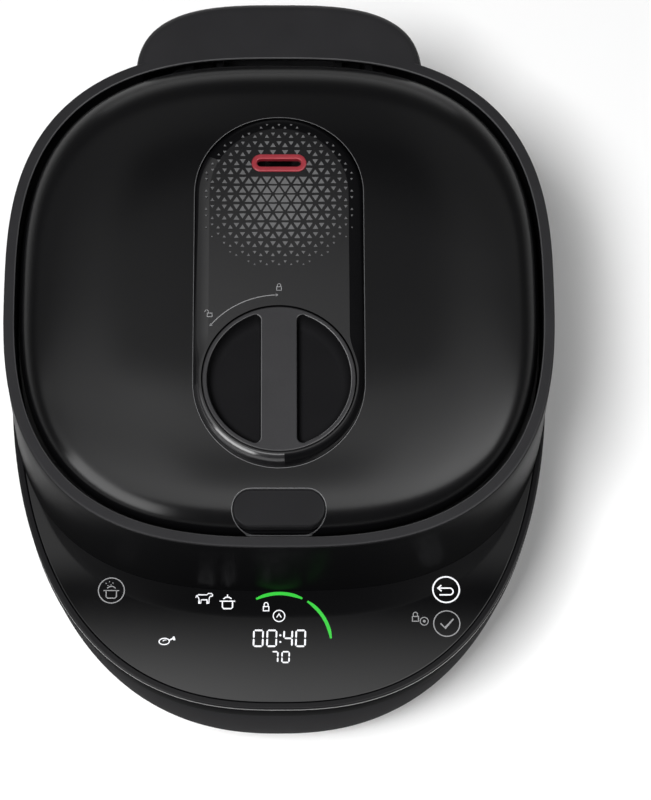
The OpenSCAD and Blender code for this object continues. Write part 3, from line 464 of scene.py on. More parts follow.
def build_frame():
    """Ring, skirt and hollow rear hood in one shell."""
    ring = tube("frame_shell", [(skirt_ring(k, i), z) for k, i, z in frame_profile()])
    hood = hood_solid("hood_tool", HOOD_Y - 1, hood_rows())
    bore = [(0.0, SKIRT_WALL, 150.0), (0.6, SKIRT_WALL, 213.0), (0.7, RING_FACE, 217.0),
            (0.99, RING_FACE, 239.1), (1, 5.3, RING_TOP), (1, 5.3, 243.0)]
    cut(hood, [stack("bore_tool", [(skirt_ring(k, i), z) for k, i, z in bore])])
    cut(ring, [hood], "UNION")
    hollow = [(174.5, 8, 30), (186, 5, 10), (200, 4, 4.5), (237.3, 4, 4)]
    cut(ring, [hood_solid("void_tool", HOOD_Y - 10, hollow)])
    mats = M_FRAME, M_SIDE_SHADE, M_RING_HIGHLIGHT, M_TURN_SHADE
    piece(ring, "base", "frame_plastic", mats, "upper_frame", angle=32)
    for p in ring.data.polygons:
        n, c = p.normal, p.center
        # Faces that turn away from the top take the darker copies: painted shade on the rounding, the skirt
        # and the hood's sides
        if n.z < 0.70:
            p.material_index = 3 if n.z > 0.30 else 1
        # Painted highlight: a thin light line along the ring's inner edge
        if c.z > 0.2391 and 0.2 < n.z < 0.97 and n.x * c.x + n.y * (c.y - POT_Y * MM) < 0:
            p.material_index = 2


# ---------- lid dome ----------

def dome_height(x, y):
    """Height of the dome's outer face above a point of its plan."""
    dy = y - POT_Y
    reach = DOME["front"] if dy < 0 else DOME["back"]
    rho4 = ((abs(x) / DOME["hw"]) ** DOME["n"] + (abs(dy) / reach) ** DOME["n"]) ** (4 / DOME["n"])
    return DOME_EDGE + (DOME_RISE + DOME_TILT * dy) * math.sqrt(max(0.0, 1 - min(1.0, rho4)))


def dome_underside(x, y):
    """Height of the dome's inner face, kept inside the outer one where that falls steeply."""
    return min(dome_height(x, y), dome_height(x * 1.018, POT_Y + (y - POT_Y) * 1.019)) - DOME_WALL


def build_dome():
    """Rings that run from the steam cover's opening out to the lid's edge, then down and back underneath."""
    turn = 2 * math.pi
    middle = (KNOB_Y + COVER_BACK) / 2
    opening = sorted((math.atan2(y - middle, x) % turn, x, y)
                     for x, y in pill(COVER_HW + 0.3, KNOB_Y, COVER_BACK, steps=400))
    directions = [a for a, _, _ in opening]

    def hole_at(x, y):
        """Point of the opening that lies in the same direction from its middle as x, y."""
        a = math.atan2(y - middle, x) % turn
        k = bisect.bisect_right(directions, a)
        p, q = opening[k - 1], opening[k % len(opening)]
        span = (q[0] - p[0]) % turn
        t = (a - p[0]) % turn / span if span else 0
        return p[1] + (q[1] - p[1]) * t, p[2] + (q[2] - p[2]) * t

    outer, inner = outline(DOME, 0.0, COUNT), outline(DOME, DOME_WALL, COUNT)
    hole = [hole_at(x, y) for x, y in outer]

    def part_way(edge, k):
        """Loop a share k of the way from the opening to an edge."""
        return [(h[0] + (o[0] - h[0]) * k, h[1] + (o[1] - h[1]) * k) for h, o in zip(hole, edge)]

    s = Shape()
    skin = [s.ring(part_way(outer, 1 - (1 - i / 44) ** 2.2), dome_height) for i in range(45)]
    low = [s.ring(outline(DOME, i, COUNT), z) for i, z in ((0.7, 229.0), (0.15, 229.2), (0.0, 229.8))]
    under = [s.ring(part_way(inner, k), dome_underside) for k in (0.0, 0.4, 0.7, 0.87, 0.95, 0.985, 1.0)]
    under.append(s.ring(inner, 229.0))
    s.strip(low + skin[::-1] + under + [low[0]])
    ob = link("lid_shell", s.mesh("lid_shell"))
    button = stadium(0, BUTTON_Y, BUTTON_W + 0.8, BUTTON_D + 0.8, steps=32)
    cut(ob, [prism("button_hole", button, 237.0, 290.0)])
    piece(ob, "lid", "lid_plastic", M_DOME, "lid_dome", angle=40)


# ---------- steam cover, knob, vent ----------

def build_cover():
    """Steam cover: soft edge, the knob's well, the shaft's bore, the vent and a hollow underneath."""
    def widening(y):
        """Share of the soft edge's full width: 0 round the knob, 1 at the back."""
        t = min(1.0, max(0.0, (y - KNOB_Y - 4) / 22))
        return t * t * (3 - 2 * t)

    def drawn_in(share):
        """Outline drawn in by a share of the soft edge, wide at the back and narrow round the knob."""
        pts = []
        narrow, wide = (pill(COVER_HW, KNOB_Y, COVER_BACK, width * share, sides=40) for width in (3.3, 8.0))
        for near, far in zip(narrow, wide):
            t = widening(near[1])
            pts.append((near[0] + (far[0] - near[0]) * t, near[1] + (far[1] - near[1]) * t))
        return pts

    def drop(y):
        """Depth of the soft edge, slightly less at the back."""
        return 4.8 - 0.8 * widening(y)

    s = Shape()
    # Soft edge between a quarter round and a bevel, as shares of its width and depth
    edge = [(0.5 * (i + 1 - k / 12), 0.5 * (d + k / 12)) for k, (i, d) in enumerate(round_edge(1.0, 12))]
    rows = [(pill(COVER_HW, KNOB_Y, COVER_BACK, sides=40), COVER_LOW)]
    rows += [(drawn_in(i), lambda x, y, d=d: COVER_TOP - drop(y) * d) for i, d in reversed(edge)]
    outer = s.strip([s.ring(p, z) for p, z in rows])
    well = [(WELL_R + 0.7 - i, COVER_TOP - d) for i, d in round_edge(0.7, 5)]
    well += [(WELL_R, 264.0), (WELL_R, 257.6), (WELL_R - 0.8, WELL_LOW)]
    well = [s.ring(circle(0, KNOB_Y, r, ROUND), z) for r, z in well]
    bore = [s.ring(circle(0, KNOB_Y, SHAFT_BORE_R, ROUND), z) for z in (WELL_LOW, COVER_LOW)]
    vent = [s.ring(stadium(0, VENT_Y, VENT_W + 2 * (0.3 - i), VENT_D + 2 * (0.3 - i)), COVER_TOP - d)
            for i, d in round_edge(0.3, 3)]
    vent += [s.ring(stadium(0, VENT_Y, VENT_W, VENT_D), COVER_LOW)]
    for rows in (well, bore, vent):
        s.strip([r[::-1] for r in rows])
    s.fill([outer[-1], well[0], vent[0]], up=True)
    s.fill([well[-1], bore[0]], up=True)
    s.fill([outer[0], bore[1], vent[-1]], up=False)
    ob = link("cover_shell", s.mesh("cover_shell"))
    face_outward(ob)
    w = COVER_HW - 2.6
    hollow = prism("hollow_tool", [(-w, 7.0), (w, 7.0)] + arc(0, COVER_BACK, w, 0, 180, 40), 240.0, 269.5)
    # Solid stays round the vent, down to where it leaves the relief valve room to lift
    cut(hollow, [prism("keep_tool", stadium(0, VENT_Y, 38.0, 17.0), 253.0, 271.0)])
    cut(ob, [hollow])
    piece(ob, "lid", "knob_plastic", (M_COVER, M_EDGE_HIGHLIGHT, M_SHADE), "steam_cover", angle=30)
    for p in ob.data.polygons:
        n = p.normal
        beyond_well = math.hypot(p.center.x, p.center.y - KNOB_Y * MM) > 0.0433
        if p.center.z > 0.254 and abs(n.z) < 0.998 and beyond_well:
            # Painted highlight at the front left of the knob, painted shade along the right and the back
            if n.y < -0.06 and n.x < 0.05 * abs(n.y) and p.center.y < (KNOB_Y + 4) * MM:
                p.material_index = 1
            elif (n.x > 0.03 or n.y > 0.6 * abs(n.x)) and n.z > 0.1:
                p.material_index = 2


def build_knob():
    """Turning knob: a disc with two finger hollows that leave a bar between them."""
    s = Shape()
    top, low = COVER_TOP, KNOB_LOW
    rows = [(0.6, low), (0.0, low + 0.6)] + [(i, top - d) for i, d in reversed(round_edge(1.0))]
    outer = s.strip([s.ring(circle(0, KNOB_Y, KNOB_R - i, ROUND), z) for i, z in rows])
    hollows = []
    for side in (-1, 1):
        rings = [s.ring(half_moon(side, -i), top - d) for i, d in round_edge(0.6, 5)]
        for k in range(1, 13):
            a = math.pi / 2 * k / 12
            drawn = 1 - math.cos(a)
            hollow = half_moon(side, 1.6 * drawn ** 2, radius=HOLLOW_R - 4.2 * drawn)
            rings.append(s.ring(hollow, top - 0.6 - 10.9 * math.sin(a)))
        s.strip([r[::-1] for r in rings])
        s.fill([rings[-1]], up=True)
        hollows.append(rings[0])
    s.fill([outer[-1]] + hollows, up=True)
    s.fill([outer[0]], up=False)
    ob = link("knob_grip", s.mesh("knob_grip"))
    face_outward(ob)
    piece(ob, "knob", "knob_plastic", (M_KNOB, M_HOLLOW_SHADE, M_RIM, M_HIGHLIGHT_LINE), "knob", angle=50)
    for p in ob.data.polygons:
        lip = p.center.z > (top - 0.75) * MM and p.normal.x < -0.25 and p.normal.z > 0.05
        inside = math.hypot(p.center.x, p.center.y - KNOB_Y * MM) < 0.0405
        # Faces down inside the finger hollows take the darker copy: painted shade
        if inside and p.center.z < (top - 0.7) * MM and p.center.z > (low + 1) * MM:
            p.material_index = 1
        # Left-facing lip faces inside the hollows take the light lines as painted highlight; other steep
        # faces near the top take the rim finish
        elif abs(p.normal.z) < 0.985 and p.center.z > (top - 2) * MM:
            p.material_index = 3 if lip and inside else 2


def painted_highlight_line(name, rows):
    """Thin band that stands on the dome round an opening, light coloured as a painted highlight, from
    (outline, lift) rows.
    """
    s = Shape()
    rings = [s.ring(pts, lambda x, y, lift=lift: dome_height(x, y) + lift) for pts, lift in rows]
    s.strip([r[::-1] for r in rings + rings[:1]])
    ob = link(name, s.mesh(name))
    face_outward(ob)
    piece(ob, "lid", "trim_plastic", M_HIGHLIGHT_BAND, angle=60)


def build_cover_highlight():
    rows = [(0.33, -1.2), (0.33, 0.06), (0.40, 0.12), (0.62, 0.12), (0.70, 0.03), (0.70, -1.2)]
    # Light band round the cover: painted highlight
    painted_highlight_line("cover_highlight_band", [(pill(COVER_HW + out, KNOB_Y, COVER_BACK, steps=120, sides=60), lift)
                             for out, lift in rows])


def build_vent_ring():
    """Red seal that lines the vent."""
    low, top, width, lip = 269.5, COVER_TOP + 0.75, 3.15, round_edge(0.8, 5)
    rows = [(0.0, low)] + [(i, top - d) for i, d in reversed(lip)]
    rows += [(width - i, top - d) for i, d in lip] + [(width, low)]
    ob = tube("vent_seal", [(stadium(0, VENT_Y, VENT_W - 0.2, VENT_D - 0.2, i), z) for i, z in rows])
    piece(ob, "lid", "red_silicone", M_RED, "vent_ring", angle=50)


# ---------- release button ----------

def build_button():
    """Release button with a sloping face."""
    slope, back, high = math.tan(math.radians(15.5)), BUTTON_Y + BUTTON_D / 2, 255.5

    def top(y):
        """Height of the button's sloping face."""
        return high - (back - y) * slope

    s = Shape()
    rows = [(0.3, 242.0), (0.0, 242.3)]
    rows += [(i, lambda x, y, d=d: top(y) - d) for i, d in reversed(round_edge(1.1))]
    rows = s.strip([s.ring(stadium(0, BUTTON_Y, BUTTON_W, BUTTON_D, i), z) for i, z in rows])
    s.fill([rows[0]], up=False)
    s.fill([rows[-1]], up=True)
    ob = link("button_cap", s.mesh("button_cap"))
    # Posts underneath, as in the CAD model
    posts = [prism("post", circle(0, BUTTON_Y + 4.2 - 8.1, 1.5, 24), 235.9, 243.0)]
    posts += [prism("post", circle(x, BUTTON_Y, 1.8, 24), 239.0, 243.0) for x in (-15, 15)]
    cut(ob, posts, "UNION")
    piece(ob, "release_button", "trim_plastic", M_BUTTON, "release_button", angle=30)


def build_button_highlight():
    rows = [(0.0, -1.6), (0.0, 0.05), (-0.12, 0.12), (-0.34, 0.12), (-0.46, 0.02), (-0.46, -1.6)]
    # Light band round the button: painted highlight
    painted_highlight_line("button_highlight_band", [(stadium(0, BUTTON_Y, BUTTON_W + 0.7, BUTTON_D + 0.7, inset, steps=40), lift)
                              for inset, lift in rows])


# ---------- body: lower shell, rim belt, bezel and panel ----------

def build_shell():
    """Lower body wall, with openings for the condensate cup and the power inlet."""
    low, side, foot = 5.0, 10.0, 5.5
    rows = [(low, foot)] + [(low + (side - low) * k / 7, foot * (1 - math.sqrt(1 - (1 - k / 7) ** 2)))
                            for k in range(1, 8)]
    rows += [(side + (SHELL_TOP - side) * k / 28, 0.0) for k in range(1, 29)]
    rows += [(z, SHELL_WALL) for z in (SHELL_TOP, 100.0, 55.0, 22.0)] + [(11.0, 3.6), (low, 8.0)]
    ob = tube("body_shell", [(outline(shell_at(z), i, COUNT), z) for z, i in rows])
    cup_low, cup_high = (corner[2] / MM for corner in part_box("condensate_cup"))
    r, depth, reach, holes = 3.0, 70.0, 230, []
    # Half width, bottom and top of each opening in the rear wall
    for name, w, z0, z1 in (("cup_opening", 28.4, cup_low - 0.4, cup_high + 0.4),
                            ("inlet_opening", 16.4, 33.6, 60.4)):
        corners = (w - r, z1 - r, 0), (-w + r, z1 - r, 90), (-w + r, z0 + r, 180), (w - r, z0 + r, 270)
        tool = prism(name, [p for cx, cz, a in corners for p in arc(cx, cz, r, a, a + 90, 6)], 0.0, depth)
        tool.data.transform(Matrix.Rotation(math.radians(90), 4, "X"))
        tool.data.transform(Matrix.Translation(Vector((0, reach * MM, 0))))
        holes.append(tool)
    cut(ob, holes)
    piece(ob, "base", "shell_plastic", M_SHELL, "lower_shell", angle=35)


def build_belt():
    """Band round the top of the lower body."""
    z0, z1 = SHELL_TOP, BELT_TOP
    rows = [(i, z0 + d) for i, d in round_edge(0.8, 5)]
    rows += [(0.0, z1 - 4.0)] + [(i, z1 - d) for i, d in reversed(round_edge(0.5, 4))]
    rows += [(3.2, z1), (3.2, z0)]
    ob = tube("rim_band", [(outline(BELT, i, COUNT), z) for i, z in rows])
    piece(ob, "base", "trim_plastic", M_BELT, "rim_belt", angle=40)


def build_bezel():
    """Frame round the control panel."""
    z0, z1 = BELT_TOP, FRAME_Z
    rows = [(i, z0 + d) for i, d in round_edge(0.35, 3)]
    rows += [(i, z1 - d) for i, d in reversed(round_edge(1.3, 7))]
    rows += [(4.0 - i, z1 - d) for i, d in round_edge(0.6, 5)] + [(4.0, z0)]
    ob = tube("panel_rim", [(outline(BELT, i, COUNT), z) for i, z in rows])
    piece(ob, "base", "trim_plastic", M_BEZEL, "bezel", angle=40)


def build_panel():
    """Gloss panel in front of the lid."""
    rows = [(0.0, PANEL_TOP - 2.5)] + [(i, PANEL_TOP - d) for i, d in reversed(round_edge(0.35, 4))]
    glass = stack("panel_glass", [(outline(BELT, PANEL_INSET + i, COUNT), z) for i, z in rows])
    # The glass lies only in front, and reaches in under the skirt
    keep, far = POT_Y - (BELT["front"] - 142.5), 400
    cut(glass, [prism("panel_back", [(-far, keep), (far, keep), (far, far), (-far, far)], 150.0, 170.0),
                prism("panel_tuck", outline(SKIRT, 1.2, COUNT), 150.0, 170.0)])
    piece(glass, "base", "panel_glass", M_PANEL, "control_panel", angle=30)


# ---------- flat printed and lit marks ----------

class Marks:
    """Thin raised shapes, each a flat face with a short wall, gathered into one mesh."""

    def __init__(self, base, thick=0.05):
        self.s, self.base, self.top = Shape(), base, base + thick

    def add(self, *loops):
        """Outer loop counter-clockwise, then any holes."""
        s, top = self.s, []
        for loop in loops:
            low, high = s.ring(loop, self.base), s.ring(loop, self.top)
            s.bridge(low, high)
            top.append(high)
        s.fill(top, up=True)

    def line(self, pts, width, closed=False):
        """Stroke of even width along points."""
        n = len(pts)
        left, right = [], []
        for i, (x, y) in enumerate(pts):
            a = pts[i - 1] if i or closed else pts[i]
            b = pts[(i + 1) % n] if i < n - 1 or closed else pts[i]
            t = Vector((b[0] - a[0], b[1] - a[1])).normalized()
            here = Vector((x, y))
            scale = 1.0
            if (i or closed) and (i < n - 1 or closed):
                t0 = (here - Vector(a)).normalized()
                scale = 1 / max(0.5, t0.dot(t))
            nrm = Vector((-t.y, t.x)) * (width / 2 * scale)
            left.append(tuple(here + nrm))
            right.append(tuple(here - nrm))
        if closed:
            self.band(right, left)
        else:
            self.add(right + left[::-1])

    def band(self, a, b):
        """Closed band between two closed loops of the same count."""
        s = self.s
        al, bl = s.ring(a, self.base), s.ring(b, self.base)
        ah, bh = s.ring(a, self.top), s.ring(b, self.top)
        s.bridge(al, ah)
        s.bridge(bh, bl)
        n = len(a)
        for i in range(n):
            j = (i + 1) % n
            s.f.append((ah[i], ah[j], bh[j], bh[i]))
            s.flat.append(True)

    def circle(self, x, y, r, width, steps=72):
        """Ring of even width."""
        self.band(circle(x, y, r + width / 2, steps), circle(x, y, r - width / 2, steps))

    def dot(self, x, y, r):
        """Filled disc."""
        self.add(circle(x, y, r, 20))

    def done(self, name, body, slot, mat):
        """Make the collected marks one visible piece."""
        ob = link(name, self.s.mesh(name))
        face_outward(ob)
        ob.data.polygons.foreach_set("use_smooth", [False] * len(ob.data.polygons))
        dress(ob, body, slot, mat)


# Lit segments of the digits that the display shows
SEGMENTS = {"0": "abcdef", "4": "fgbc", "7": "abc"}


def digit(marks, ch, x, y, w, h, t):
    """Seven-segment digit, slightly leaning, with its lower left corner at x, y and strokes t thick."""
    lean, g, m, k = 0.03, 0.12 * t + 0.08, h / 2, t / 2

    def bar(x0, x1, yc):
        return [(x0 + g, yc), (x0 + g + k, yc - k), (x1 - g - k, yc - k), (x1 - g, yc), (x1 - g - k, yc + k),
                (x0 + g + k, yc + k)]

    def post(xc, y0, y1):
        return [(xc, y0 + g), (xc + k, y0 + g + k), (xc + k, y1 - g - k), (xc, y1 - g), (xc - k, y1 - g - k),
                (xc - k, y0 + g + k)]

    shapes = dict(a=bar(k, w - k, h - k), g=bar(k, w - k, m), d=bar(k, w - k, k), f=post(k, m, h - k),
                  b=post(w - k, m, h - k), e=post(k, k, m), c=post(w - k, k, m))
    for name in SEGMENTS[ch]:
        marks.add([(x + px + (y + py - y) * lean, y + py) for px, py in shapes[name]])


def pot_symbol(marks, x, y, size, width):
    """Generic cooking pot: open body, lid line and a knob, about size wide."""
    s = size / 2
    for pts in ([(-0.62, 0.22), (-0.62, -0.55), (-0.45, -0.72), (0.45, -0.72), (0.62, -0.55), (0.62, 0.22)],
                [(-0.95, 0.22), (0.95, 0.22)],
                [(-0.50, 0.50), (-0.2, 0.72), (0.2, 0.72), (0.50, 0.50)]):
        marks.line([(x + s * u, y + s * v) for u, v in pts], width)


def padlock(marks, x, y, size, width, opened=False):
    """Padlock with its body centred at x, y."""
    w, h = size * 0.36, size * 0.30
    marks.band(*([(x - a, y - b), (x + a, y - b), (x + a, y + b), (x - a, y + b)]
                 for a, b in ((w, h), (w - width, h - width))))
    shift = -size * 0.40 if opened else 0.0
    r = size * 0.22
    pts = [(x + shift + r, y + h)] + arc(x + shift, y + h + r * 0.8, r, 0, 180, 12)
    pts.append((x + shift - r, y + h + (r * 0.3 if opened else 0)))
    marks.line(pts, width * 0.9)


def arrow_head(marks, x, y, angle, size):
    """Small filled triangle that points along the angle."""
    marks.add(circle(x, y, size, 3, math.radians(angle)))


def build_panel_marks():
    """Symbols, arcs and digits on the panel."""
    z = PANEL_TOP + 0.02
    grey, white, green = Marks(z), Marks(z), Marks(z)
    # Left touch mark: grey ring with a steaming pot in it
    grey.circle(-96.4, -133.8, 7.45, 0.6)
    pot_symbol(grey, -96.4, -134.9, 9.6, 0.55)
    for x, y in ((-99.5, -129.6), (-97.6, -128.6), (-95.6, -129.4), (-98.4, -130.9), (-96.6, -130.6)):
        grey.dot(x, y, 0.32)
    # Back mark: bright ring with a returning arrow
    cx, cy = 96.1, -133.3
    white.circle(cx, cy, 7.6, 0.85)
    white.line([(cx - 4.4, cy + 0.9), (cx + 2.0, cy + 0.9)] + arc(cx + 2.0, cy - 1.1, 2.0, 90, -90, 14)[1:] +
               [(cx - 3.9, cy - 3.1)], 0.8)
    white.line([(cx - 2.6, cy + 2.7), (cx - 4.7, cy + 0.9), (cx - 2.6, cy - 0.9)], 0.8)
    # Confirm mark: grey ring with a tick
    cy = -153.4
    grey.circle(cx, cy, 7.5, 0.6)
    grey.line([(cx - 3.6, cy + 0.2), (cx - 1.0, cy - 2.6), (cx + 3.9, cy + 2.8)], 0.7)
    # Lock mark beside it
    padlock(grey, 78.2, -150.6, 5.6, 0.55)
    grey.circle(83.2, -152.0, 2.3, 0.5)
    grey.dot(83.2, -152.0, 0.8)
    # Progress arcs about the time, thinner towards their ends
    gx, gy, r, n = 0.4, -165.0, 29.4, 44
    for a0, a1 in ((117.4, 63.8), (57.3, 5.7)):
        turn = [a1 + (a0 - a1) * i / n for i in range(n + 1)]
        half = [min(1.0, 0.55 + 2.4 * min(i, n - i) / n) for i in range(n + 1)]
        outer, inner = [[(gx + (r + sign * h) * math.cos(math.radians(a)),
                          gy + (r + sign * h) * math.sin(math.radians(a))) for a, h in zip(turn, half)]
                        for sign in (1, -1)]
        green.add(outer + inner[::-1])
    # Time and value: digit, left edge and width
    time_y, value_y = -167.2, -176.6
    for ch, px, w in (("0", -15.1, 6.2), ("0", -7.4, 6.2), ("4", 2.2, 5.6), ("0", 9.1, 6.2)):
        digit(white, ch, px, time_y, w, 10.3, 1.0)
    for dy in (3.0, 6.9):
        white.dot(0.75, time_y + dy, 0.6)
    for ch, px, w in (("7", -4.6, 4.2), ("0", 1.2, 4.9)):
        digit(white, ch, px, value_y, w, 7.1, 0.85)
    # Small marks above the time
    padlock(white, -7.4, -144.6, 5.2, 0.6)
    white.circle(0.0, -148.9, 3.3, 0.6)
    white.line([(-1.3, -149.8), (0.0, -147.6), (1.3, -149.8)], 0.5)
    pot_symbol(white, -29.6, -141.2, 9.4, 0.7)
    white.line([(-29.6, -137.9), (-29.6, -136.2)], 0.7)
    # Food marks: a generic four-legged animal, and a drumstick
    ax, ay, k = -42.8, -138.4, 1.06
    body = [(-3.9, 1.3), (-3.4, 1.9), (1.3, 1.9), (2.1, 2.7), (3.9, 2.6), (4.4, 1.7), (4.1, 1.1), (3.0, 1.0),
            (2.5, 0.0), (2.4, -2.9), (1.5, -2.9), (1.3, -0.9), (-1.8, -0.9), (-2.0, -2.9), (-2.9, -2.9),
            (-3.0, -0.4)]
    white.line([(ax + x * k, ay + y * k) for x, y in body], 0.55, closed=True)
    white.line([(ax - 4.4, ay + 1.9), (ax - 5.0, ay + 0.2)], 0.5)
    dx, dy = -64.6, -163.9
    white.line([(dx - 1.0 + 2.9 * c - 0.5 * s, dy + 1.8 * s + 0.4 * c) for c, s in circle(0, 0, 1, 28)], 0.6,
               closed=True)
    white.line([(dx - 1.9, dy + 0.2), (dx - 1.0, dy + 0.8), (dx + 0.2, dy + 0.9)], 0.45)
    white.line([(dx + 1.9, dy + 0.8), (dx + 4.0, dy + 1.7)], 0.8)
    white.dot(dx + 4.4, dy + 2.3, 0.65)
    white.dot(dx + 4.7, dy + 1.3, 0.65)
    grey.done("panel_marks_grey", "base", "panel_glass", M_MARK_GREY)
    white.done("panel_marks_white", "base", "panel_glass", M_MARK_WHITE)
    green.done("panel_marks_green", "base", "panel_glass", M_MARK_GREEN)


def build_cover_marks():
    """Triangle pattern round the vent, and the marks for the knob's turn."""
    z = COVER_TOP + 0.015
    # Triangles that shrink away from a middle point, clear of the cover's soft edge and of the vent
    dots = Marks(z, 0.02)
    cy, reach, row, step = 66.6, 46.0, 5.55, 6.8
    for j in range(-9, 10):
        y0 = cy + (j + 0.5) * row
        for i in range(-16, 17):
            up = (i + j) % 2 == 0
            x0 = i * step / 2
            yc = y0 + (-row / 6 if up else row / 6)
            d = math.hypot(x0, yc - cy)
            if d > reach:
                continue
            if math.hypot(x0, max(0.0, yc - COVER_BACK)) > COVER_HW - 4.4 or abs(x0) > 42.6:
                continue
            if abs(yc - VENT_Y) < 6.3 and abs(x0) < 16.3:
                continue
            k = 0.74 * (1 - 0.80 * (d / reach) ** 1.7)
            half, tall = step / 2 * k, row * k
            sgn = 1 if up else -1
            pts = [(x0 - half, yc - sgn * tall / 3), (x0 + half, yc - sgn * tall / 3),
                   (x0, yc + sgn * tall * 2 / 3)]
            if not up:
                pts.reverse()
            dots.add(pts)
    dots.done("cover_pattern", "lid", "knob_plastic", M_PRINT)
    # The way the knob turns, from locked to open
    marks, r, locked, opened = Marks(z, 0.02), 48.8, 91.5, 140.5
    marks.line(arc(0, KNOB_Y, r, locked, opened, 40), 0.42)
    for a, turn in ((locked, -90), (opened, 90)):
        x, y = r * math.cos(math.radians(a)), KNOB_Y + r * math.sin(math.radians(a))
        arrow_head(marks, x, y, a + turn, 1.0)
    padlock(marks, 0.0, KNOB_Y + 52.6, 4.2, 0.42)
    padlock(marks, -38.3, KNOB_Y + 37.0, 4.2, 0.42, opened=True)
    marks.done("lock_marks", "lid", "knob_plastic", M_MARK_PRINT)


# ---------- finish of the CAD parts that stay ----------

FINISH = (
    (M_ZINC, "base_screws lid_screws catch_ring outer_pot lid_plate lock_ring"),
    (M_INNER, "bottom_cover panel_tray top_deck power_inlet cup_sleeve"),
    (M_INNER, "lid_base liner_nut steam_duct relief_valve"),
    (M_STEEL, "inner_pot sensor_cap hinge_pin inner_lid valve_seats valve_shield knob_shaft latch_pin"),
    (M_SPRING, "touch_pads heating_element sensor_spring hinge_springs button_springs"),
    # Latch and hinge parts are darkened where they show in the gaps round the lid: painted shade
    (M_GAP_SHADE_STEEL, "latch_striker latch_hook"),
    (M_GAP_SHADE, "hinge_bracket hinge_arms"),
    (M_BOARD, "control_board power_board"),
    (M_GEAR, "sensor_holder pinion"),
    (M_RED, "float_valve float_seal"),
    (M_CAST, "heating_plate"),
    (M_BRASS, "inlet_pins"),
    (M_DARK, "display_module"),
    (M_SHELL, "condensate_cup"),
    (M_SILICONE, "sealing_gasket"),
    (M_RUBBER, "rubber_feet"),
)
for build in (build_frame, build_dome, build_cover, build_knob, build_cover_highlight, build_vent_ring,
              build_button, build_button_highlight, build_shell, build_belt, build_bezel, build_panel,
              build_panel_marks, build_cover_marks):
    build()
for mat, names in FINISH:
    for name in names.split():
        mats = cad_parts[name].data.materials
        if not mats:
            mats.append(mat)
        for i in range(len(mats)):
            mats[i] = mat


# ---------- camera, floor and light ----------

def shine(nt, surface):
    """Make a shader the surface of the material."""
    put(nt.nodes.new("ShaderNodeOutputMaterial").inputs["Surface"], surface)


def blank(ob):
    """Put a new material without nodes on ob, and give its node tree."""
    m = bpy.data.materials.new(ob.name)
    m.use_nodes = True
    m.node_tree.nodes.clear()
    ob.data.materials.append(m)
    return m.node_tree


def build_camera():
    """Camera at the photograph's angle; the shift puts the object's middle at its column."""
    data = bpy.data.cameras.new("camera")
    cam = link("camera", data)
    bpy.context.scene.camera = cam
    pitch = math.radians(CAMERA_PITCH)
    axes = Matrix(((1, 0, 0), (0, math.sin(pitch), math.cos(pitch)), (0, -math.cos(pitch), math.sin(pitch))))
    cam.matrix_world = Matrix.Translation(CAMERA_AT) @ axes.transposed().to_4x4()
    data.sensor_fit, data.sensor_width = "AUTO", SENSOR
    data.lens = FOCAL * SENSOR / PHOTO_H
    data.shift_x = (PHOTO_W / 2 - CENTRE_X) / PHOTO_H
    data.clip_start, data.clip_end = 0.05, 20


def build_floor():
    """Pale floor that glows only for the rays that see it, so that it renders near white."""
    r = FLOOR_REACH
    square = [(-r, -r), (r, -r), (r, r), (-r, r)]
    floor = stack("floor", [(square, -20.0), (square, 0.0)])
    nt = blank(floor)
    seen = nt.nodes.new("ShaderNodeLightPath").outputs
    # The floor whitens with distance, as a studio sweep does, for the camera only
    away = node(nt, "VectorMath", {0: place(nt)}, operation="LENGTH").node.outputs["Value"]
    near, end, most = FLOOR_FADE
    far = node(nt, "MapRange", {"Value": away, "From Min": near, "From Max": end, "To Max": most})
    glow = maths(nt, "ADD", maths(nt, "MULTIPLY", far, seen["Is Camera Ray"]), FLOOR_GLOW)
    diffuse = node(nt, "BsdfDiffuse", {"Color": FLOOR_COLOR})
    lit = node(nt, "AddShader", {0: diffuse, 1: node(nt, "Emission", {"Strength": glow})})
    direct = maths(nt, "MAXIMUM", seen["Is Camera Ray"], seen["Is Glossy Ray"])
    any_ray = maths(nt, "MAXIMUM", direct, seen["Is Transmission Ray"])
    shine(nt, node(nt, "MixShader", {"Fac": any_ray, 1: diffuse, 2: lit}))


def build_key():
    """Soft key light, left out of reflections."""
    data = bpy.data.lights.new("key", "AREA")
    data.shape = "RECTANGLE"
    data.size = data.size_y = KEY_SIZE
    data.energy = KEY_WATTS
    ob = link("key", data)
    ob.location = KEY_AT
    ob.rotation_mode = "QUATERNION"
    ob.rotation_quaternion = (Vector(KEY_AIM) - Vector(KEY_AT)).to_track_quat("-Z", "Y")
    ob.visible_glossy = False


def reflector(name, corners):
    """Flat studio card that only reflections see; gives its node tree and a point's coordinates on it."""
    me = bpy.data.meshes.new(name)
    me.from_pydata(corners, [], [(0, 1, 2, 3)])
    me.update()
    ob = link(name, me)
    ob.visible_camera = ob.visible_diffuse = ob.visible_shadow = ob.visible_transmission = False
    nt = blank(ob)
    return nt, node(nt, "SeparateXYZ", {"Vector": place(nt)}).node.outputs


def card(name, corner, along, up, strength, fade=None):
    """Reflector of one strength; fade names an axis, where it starts to dim and where it is dark."""
    c, u, v = Vector(corner), Vector(along), Vector(up)
    nt, at = reflector(name, [c, c + u, c + u + v, c + v])
    if fade:
        axis, start, end = fade
        limits = {"Value": at[axis], "From Min": end, "From Max": start, "To Max": strength}
        strength = node(nt, "MapRange", limits)
    shine(nt, node(nt, "Emission", {"Strength": strength}))


def profile(nt, socket, stops):
    """Piecewise value along a coordinate, as (coordinate, value) stops in rising order."""
    first, last, peak = stops[0][0], stops[-1][0], max(v for _, v in stops)
    share = node(nt, "MapRange", {"Value": socket, "From Min": first, "From Max": last})
    greys = [((c - first) / (last - first), [v / peak] * 3) for c, v in stops]
    return maths(nt, "MULTIPLY", ramp(nt, share, greys), peak)


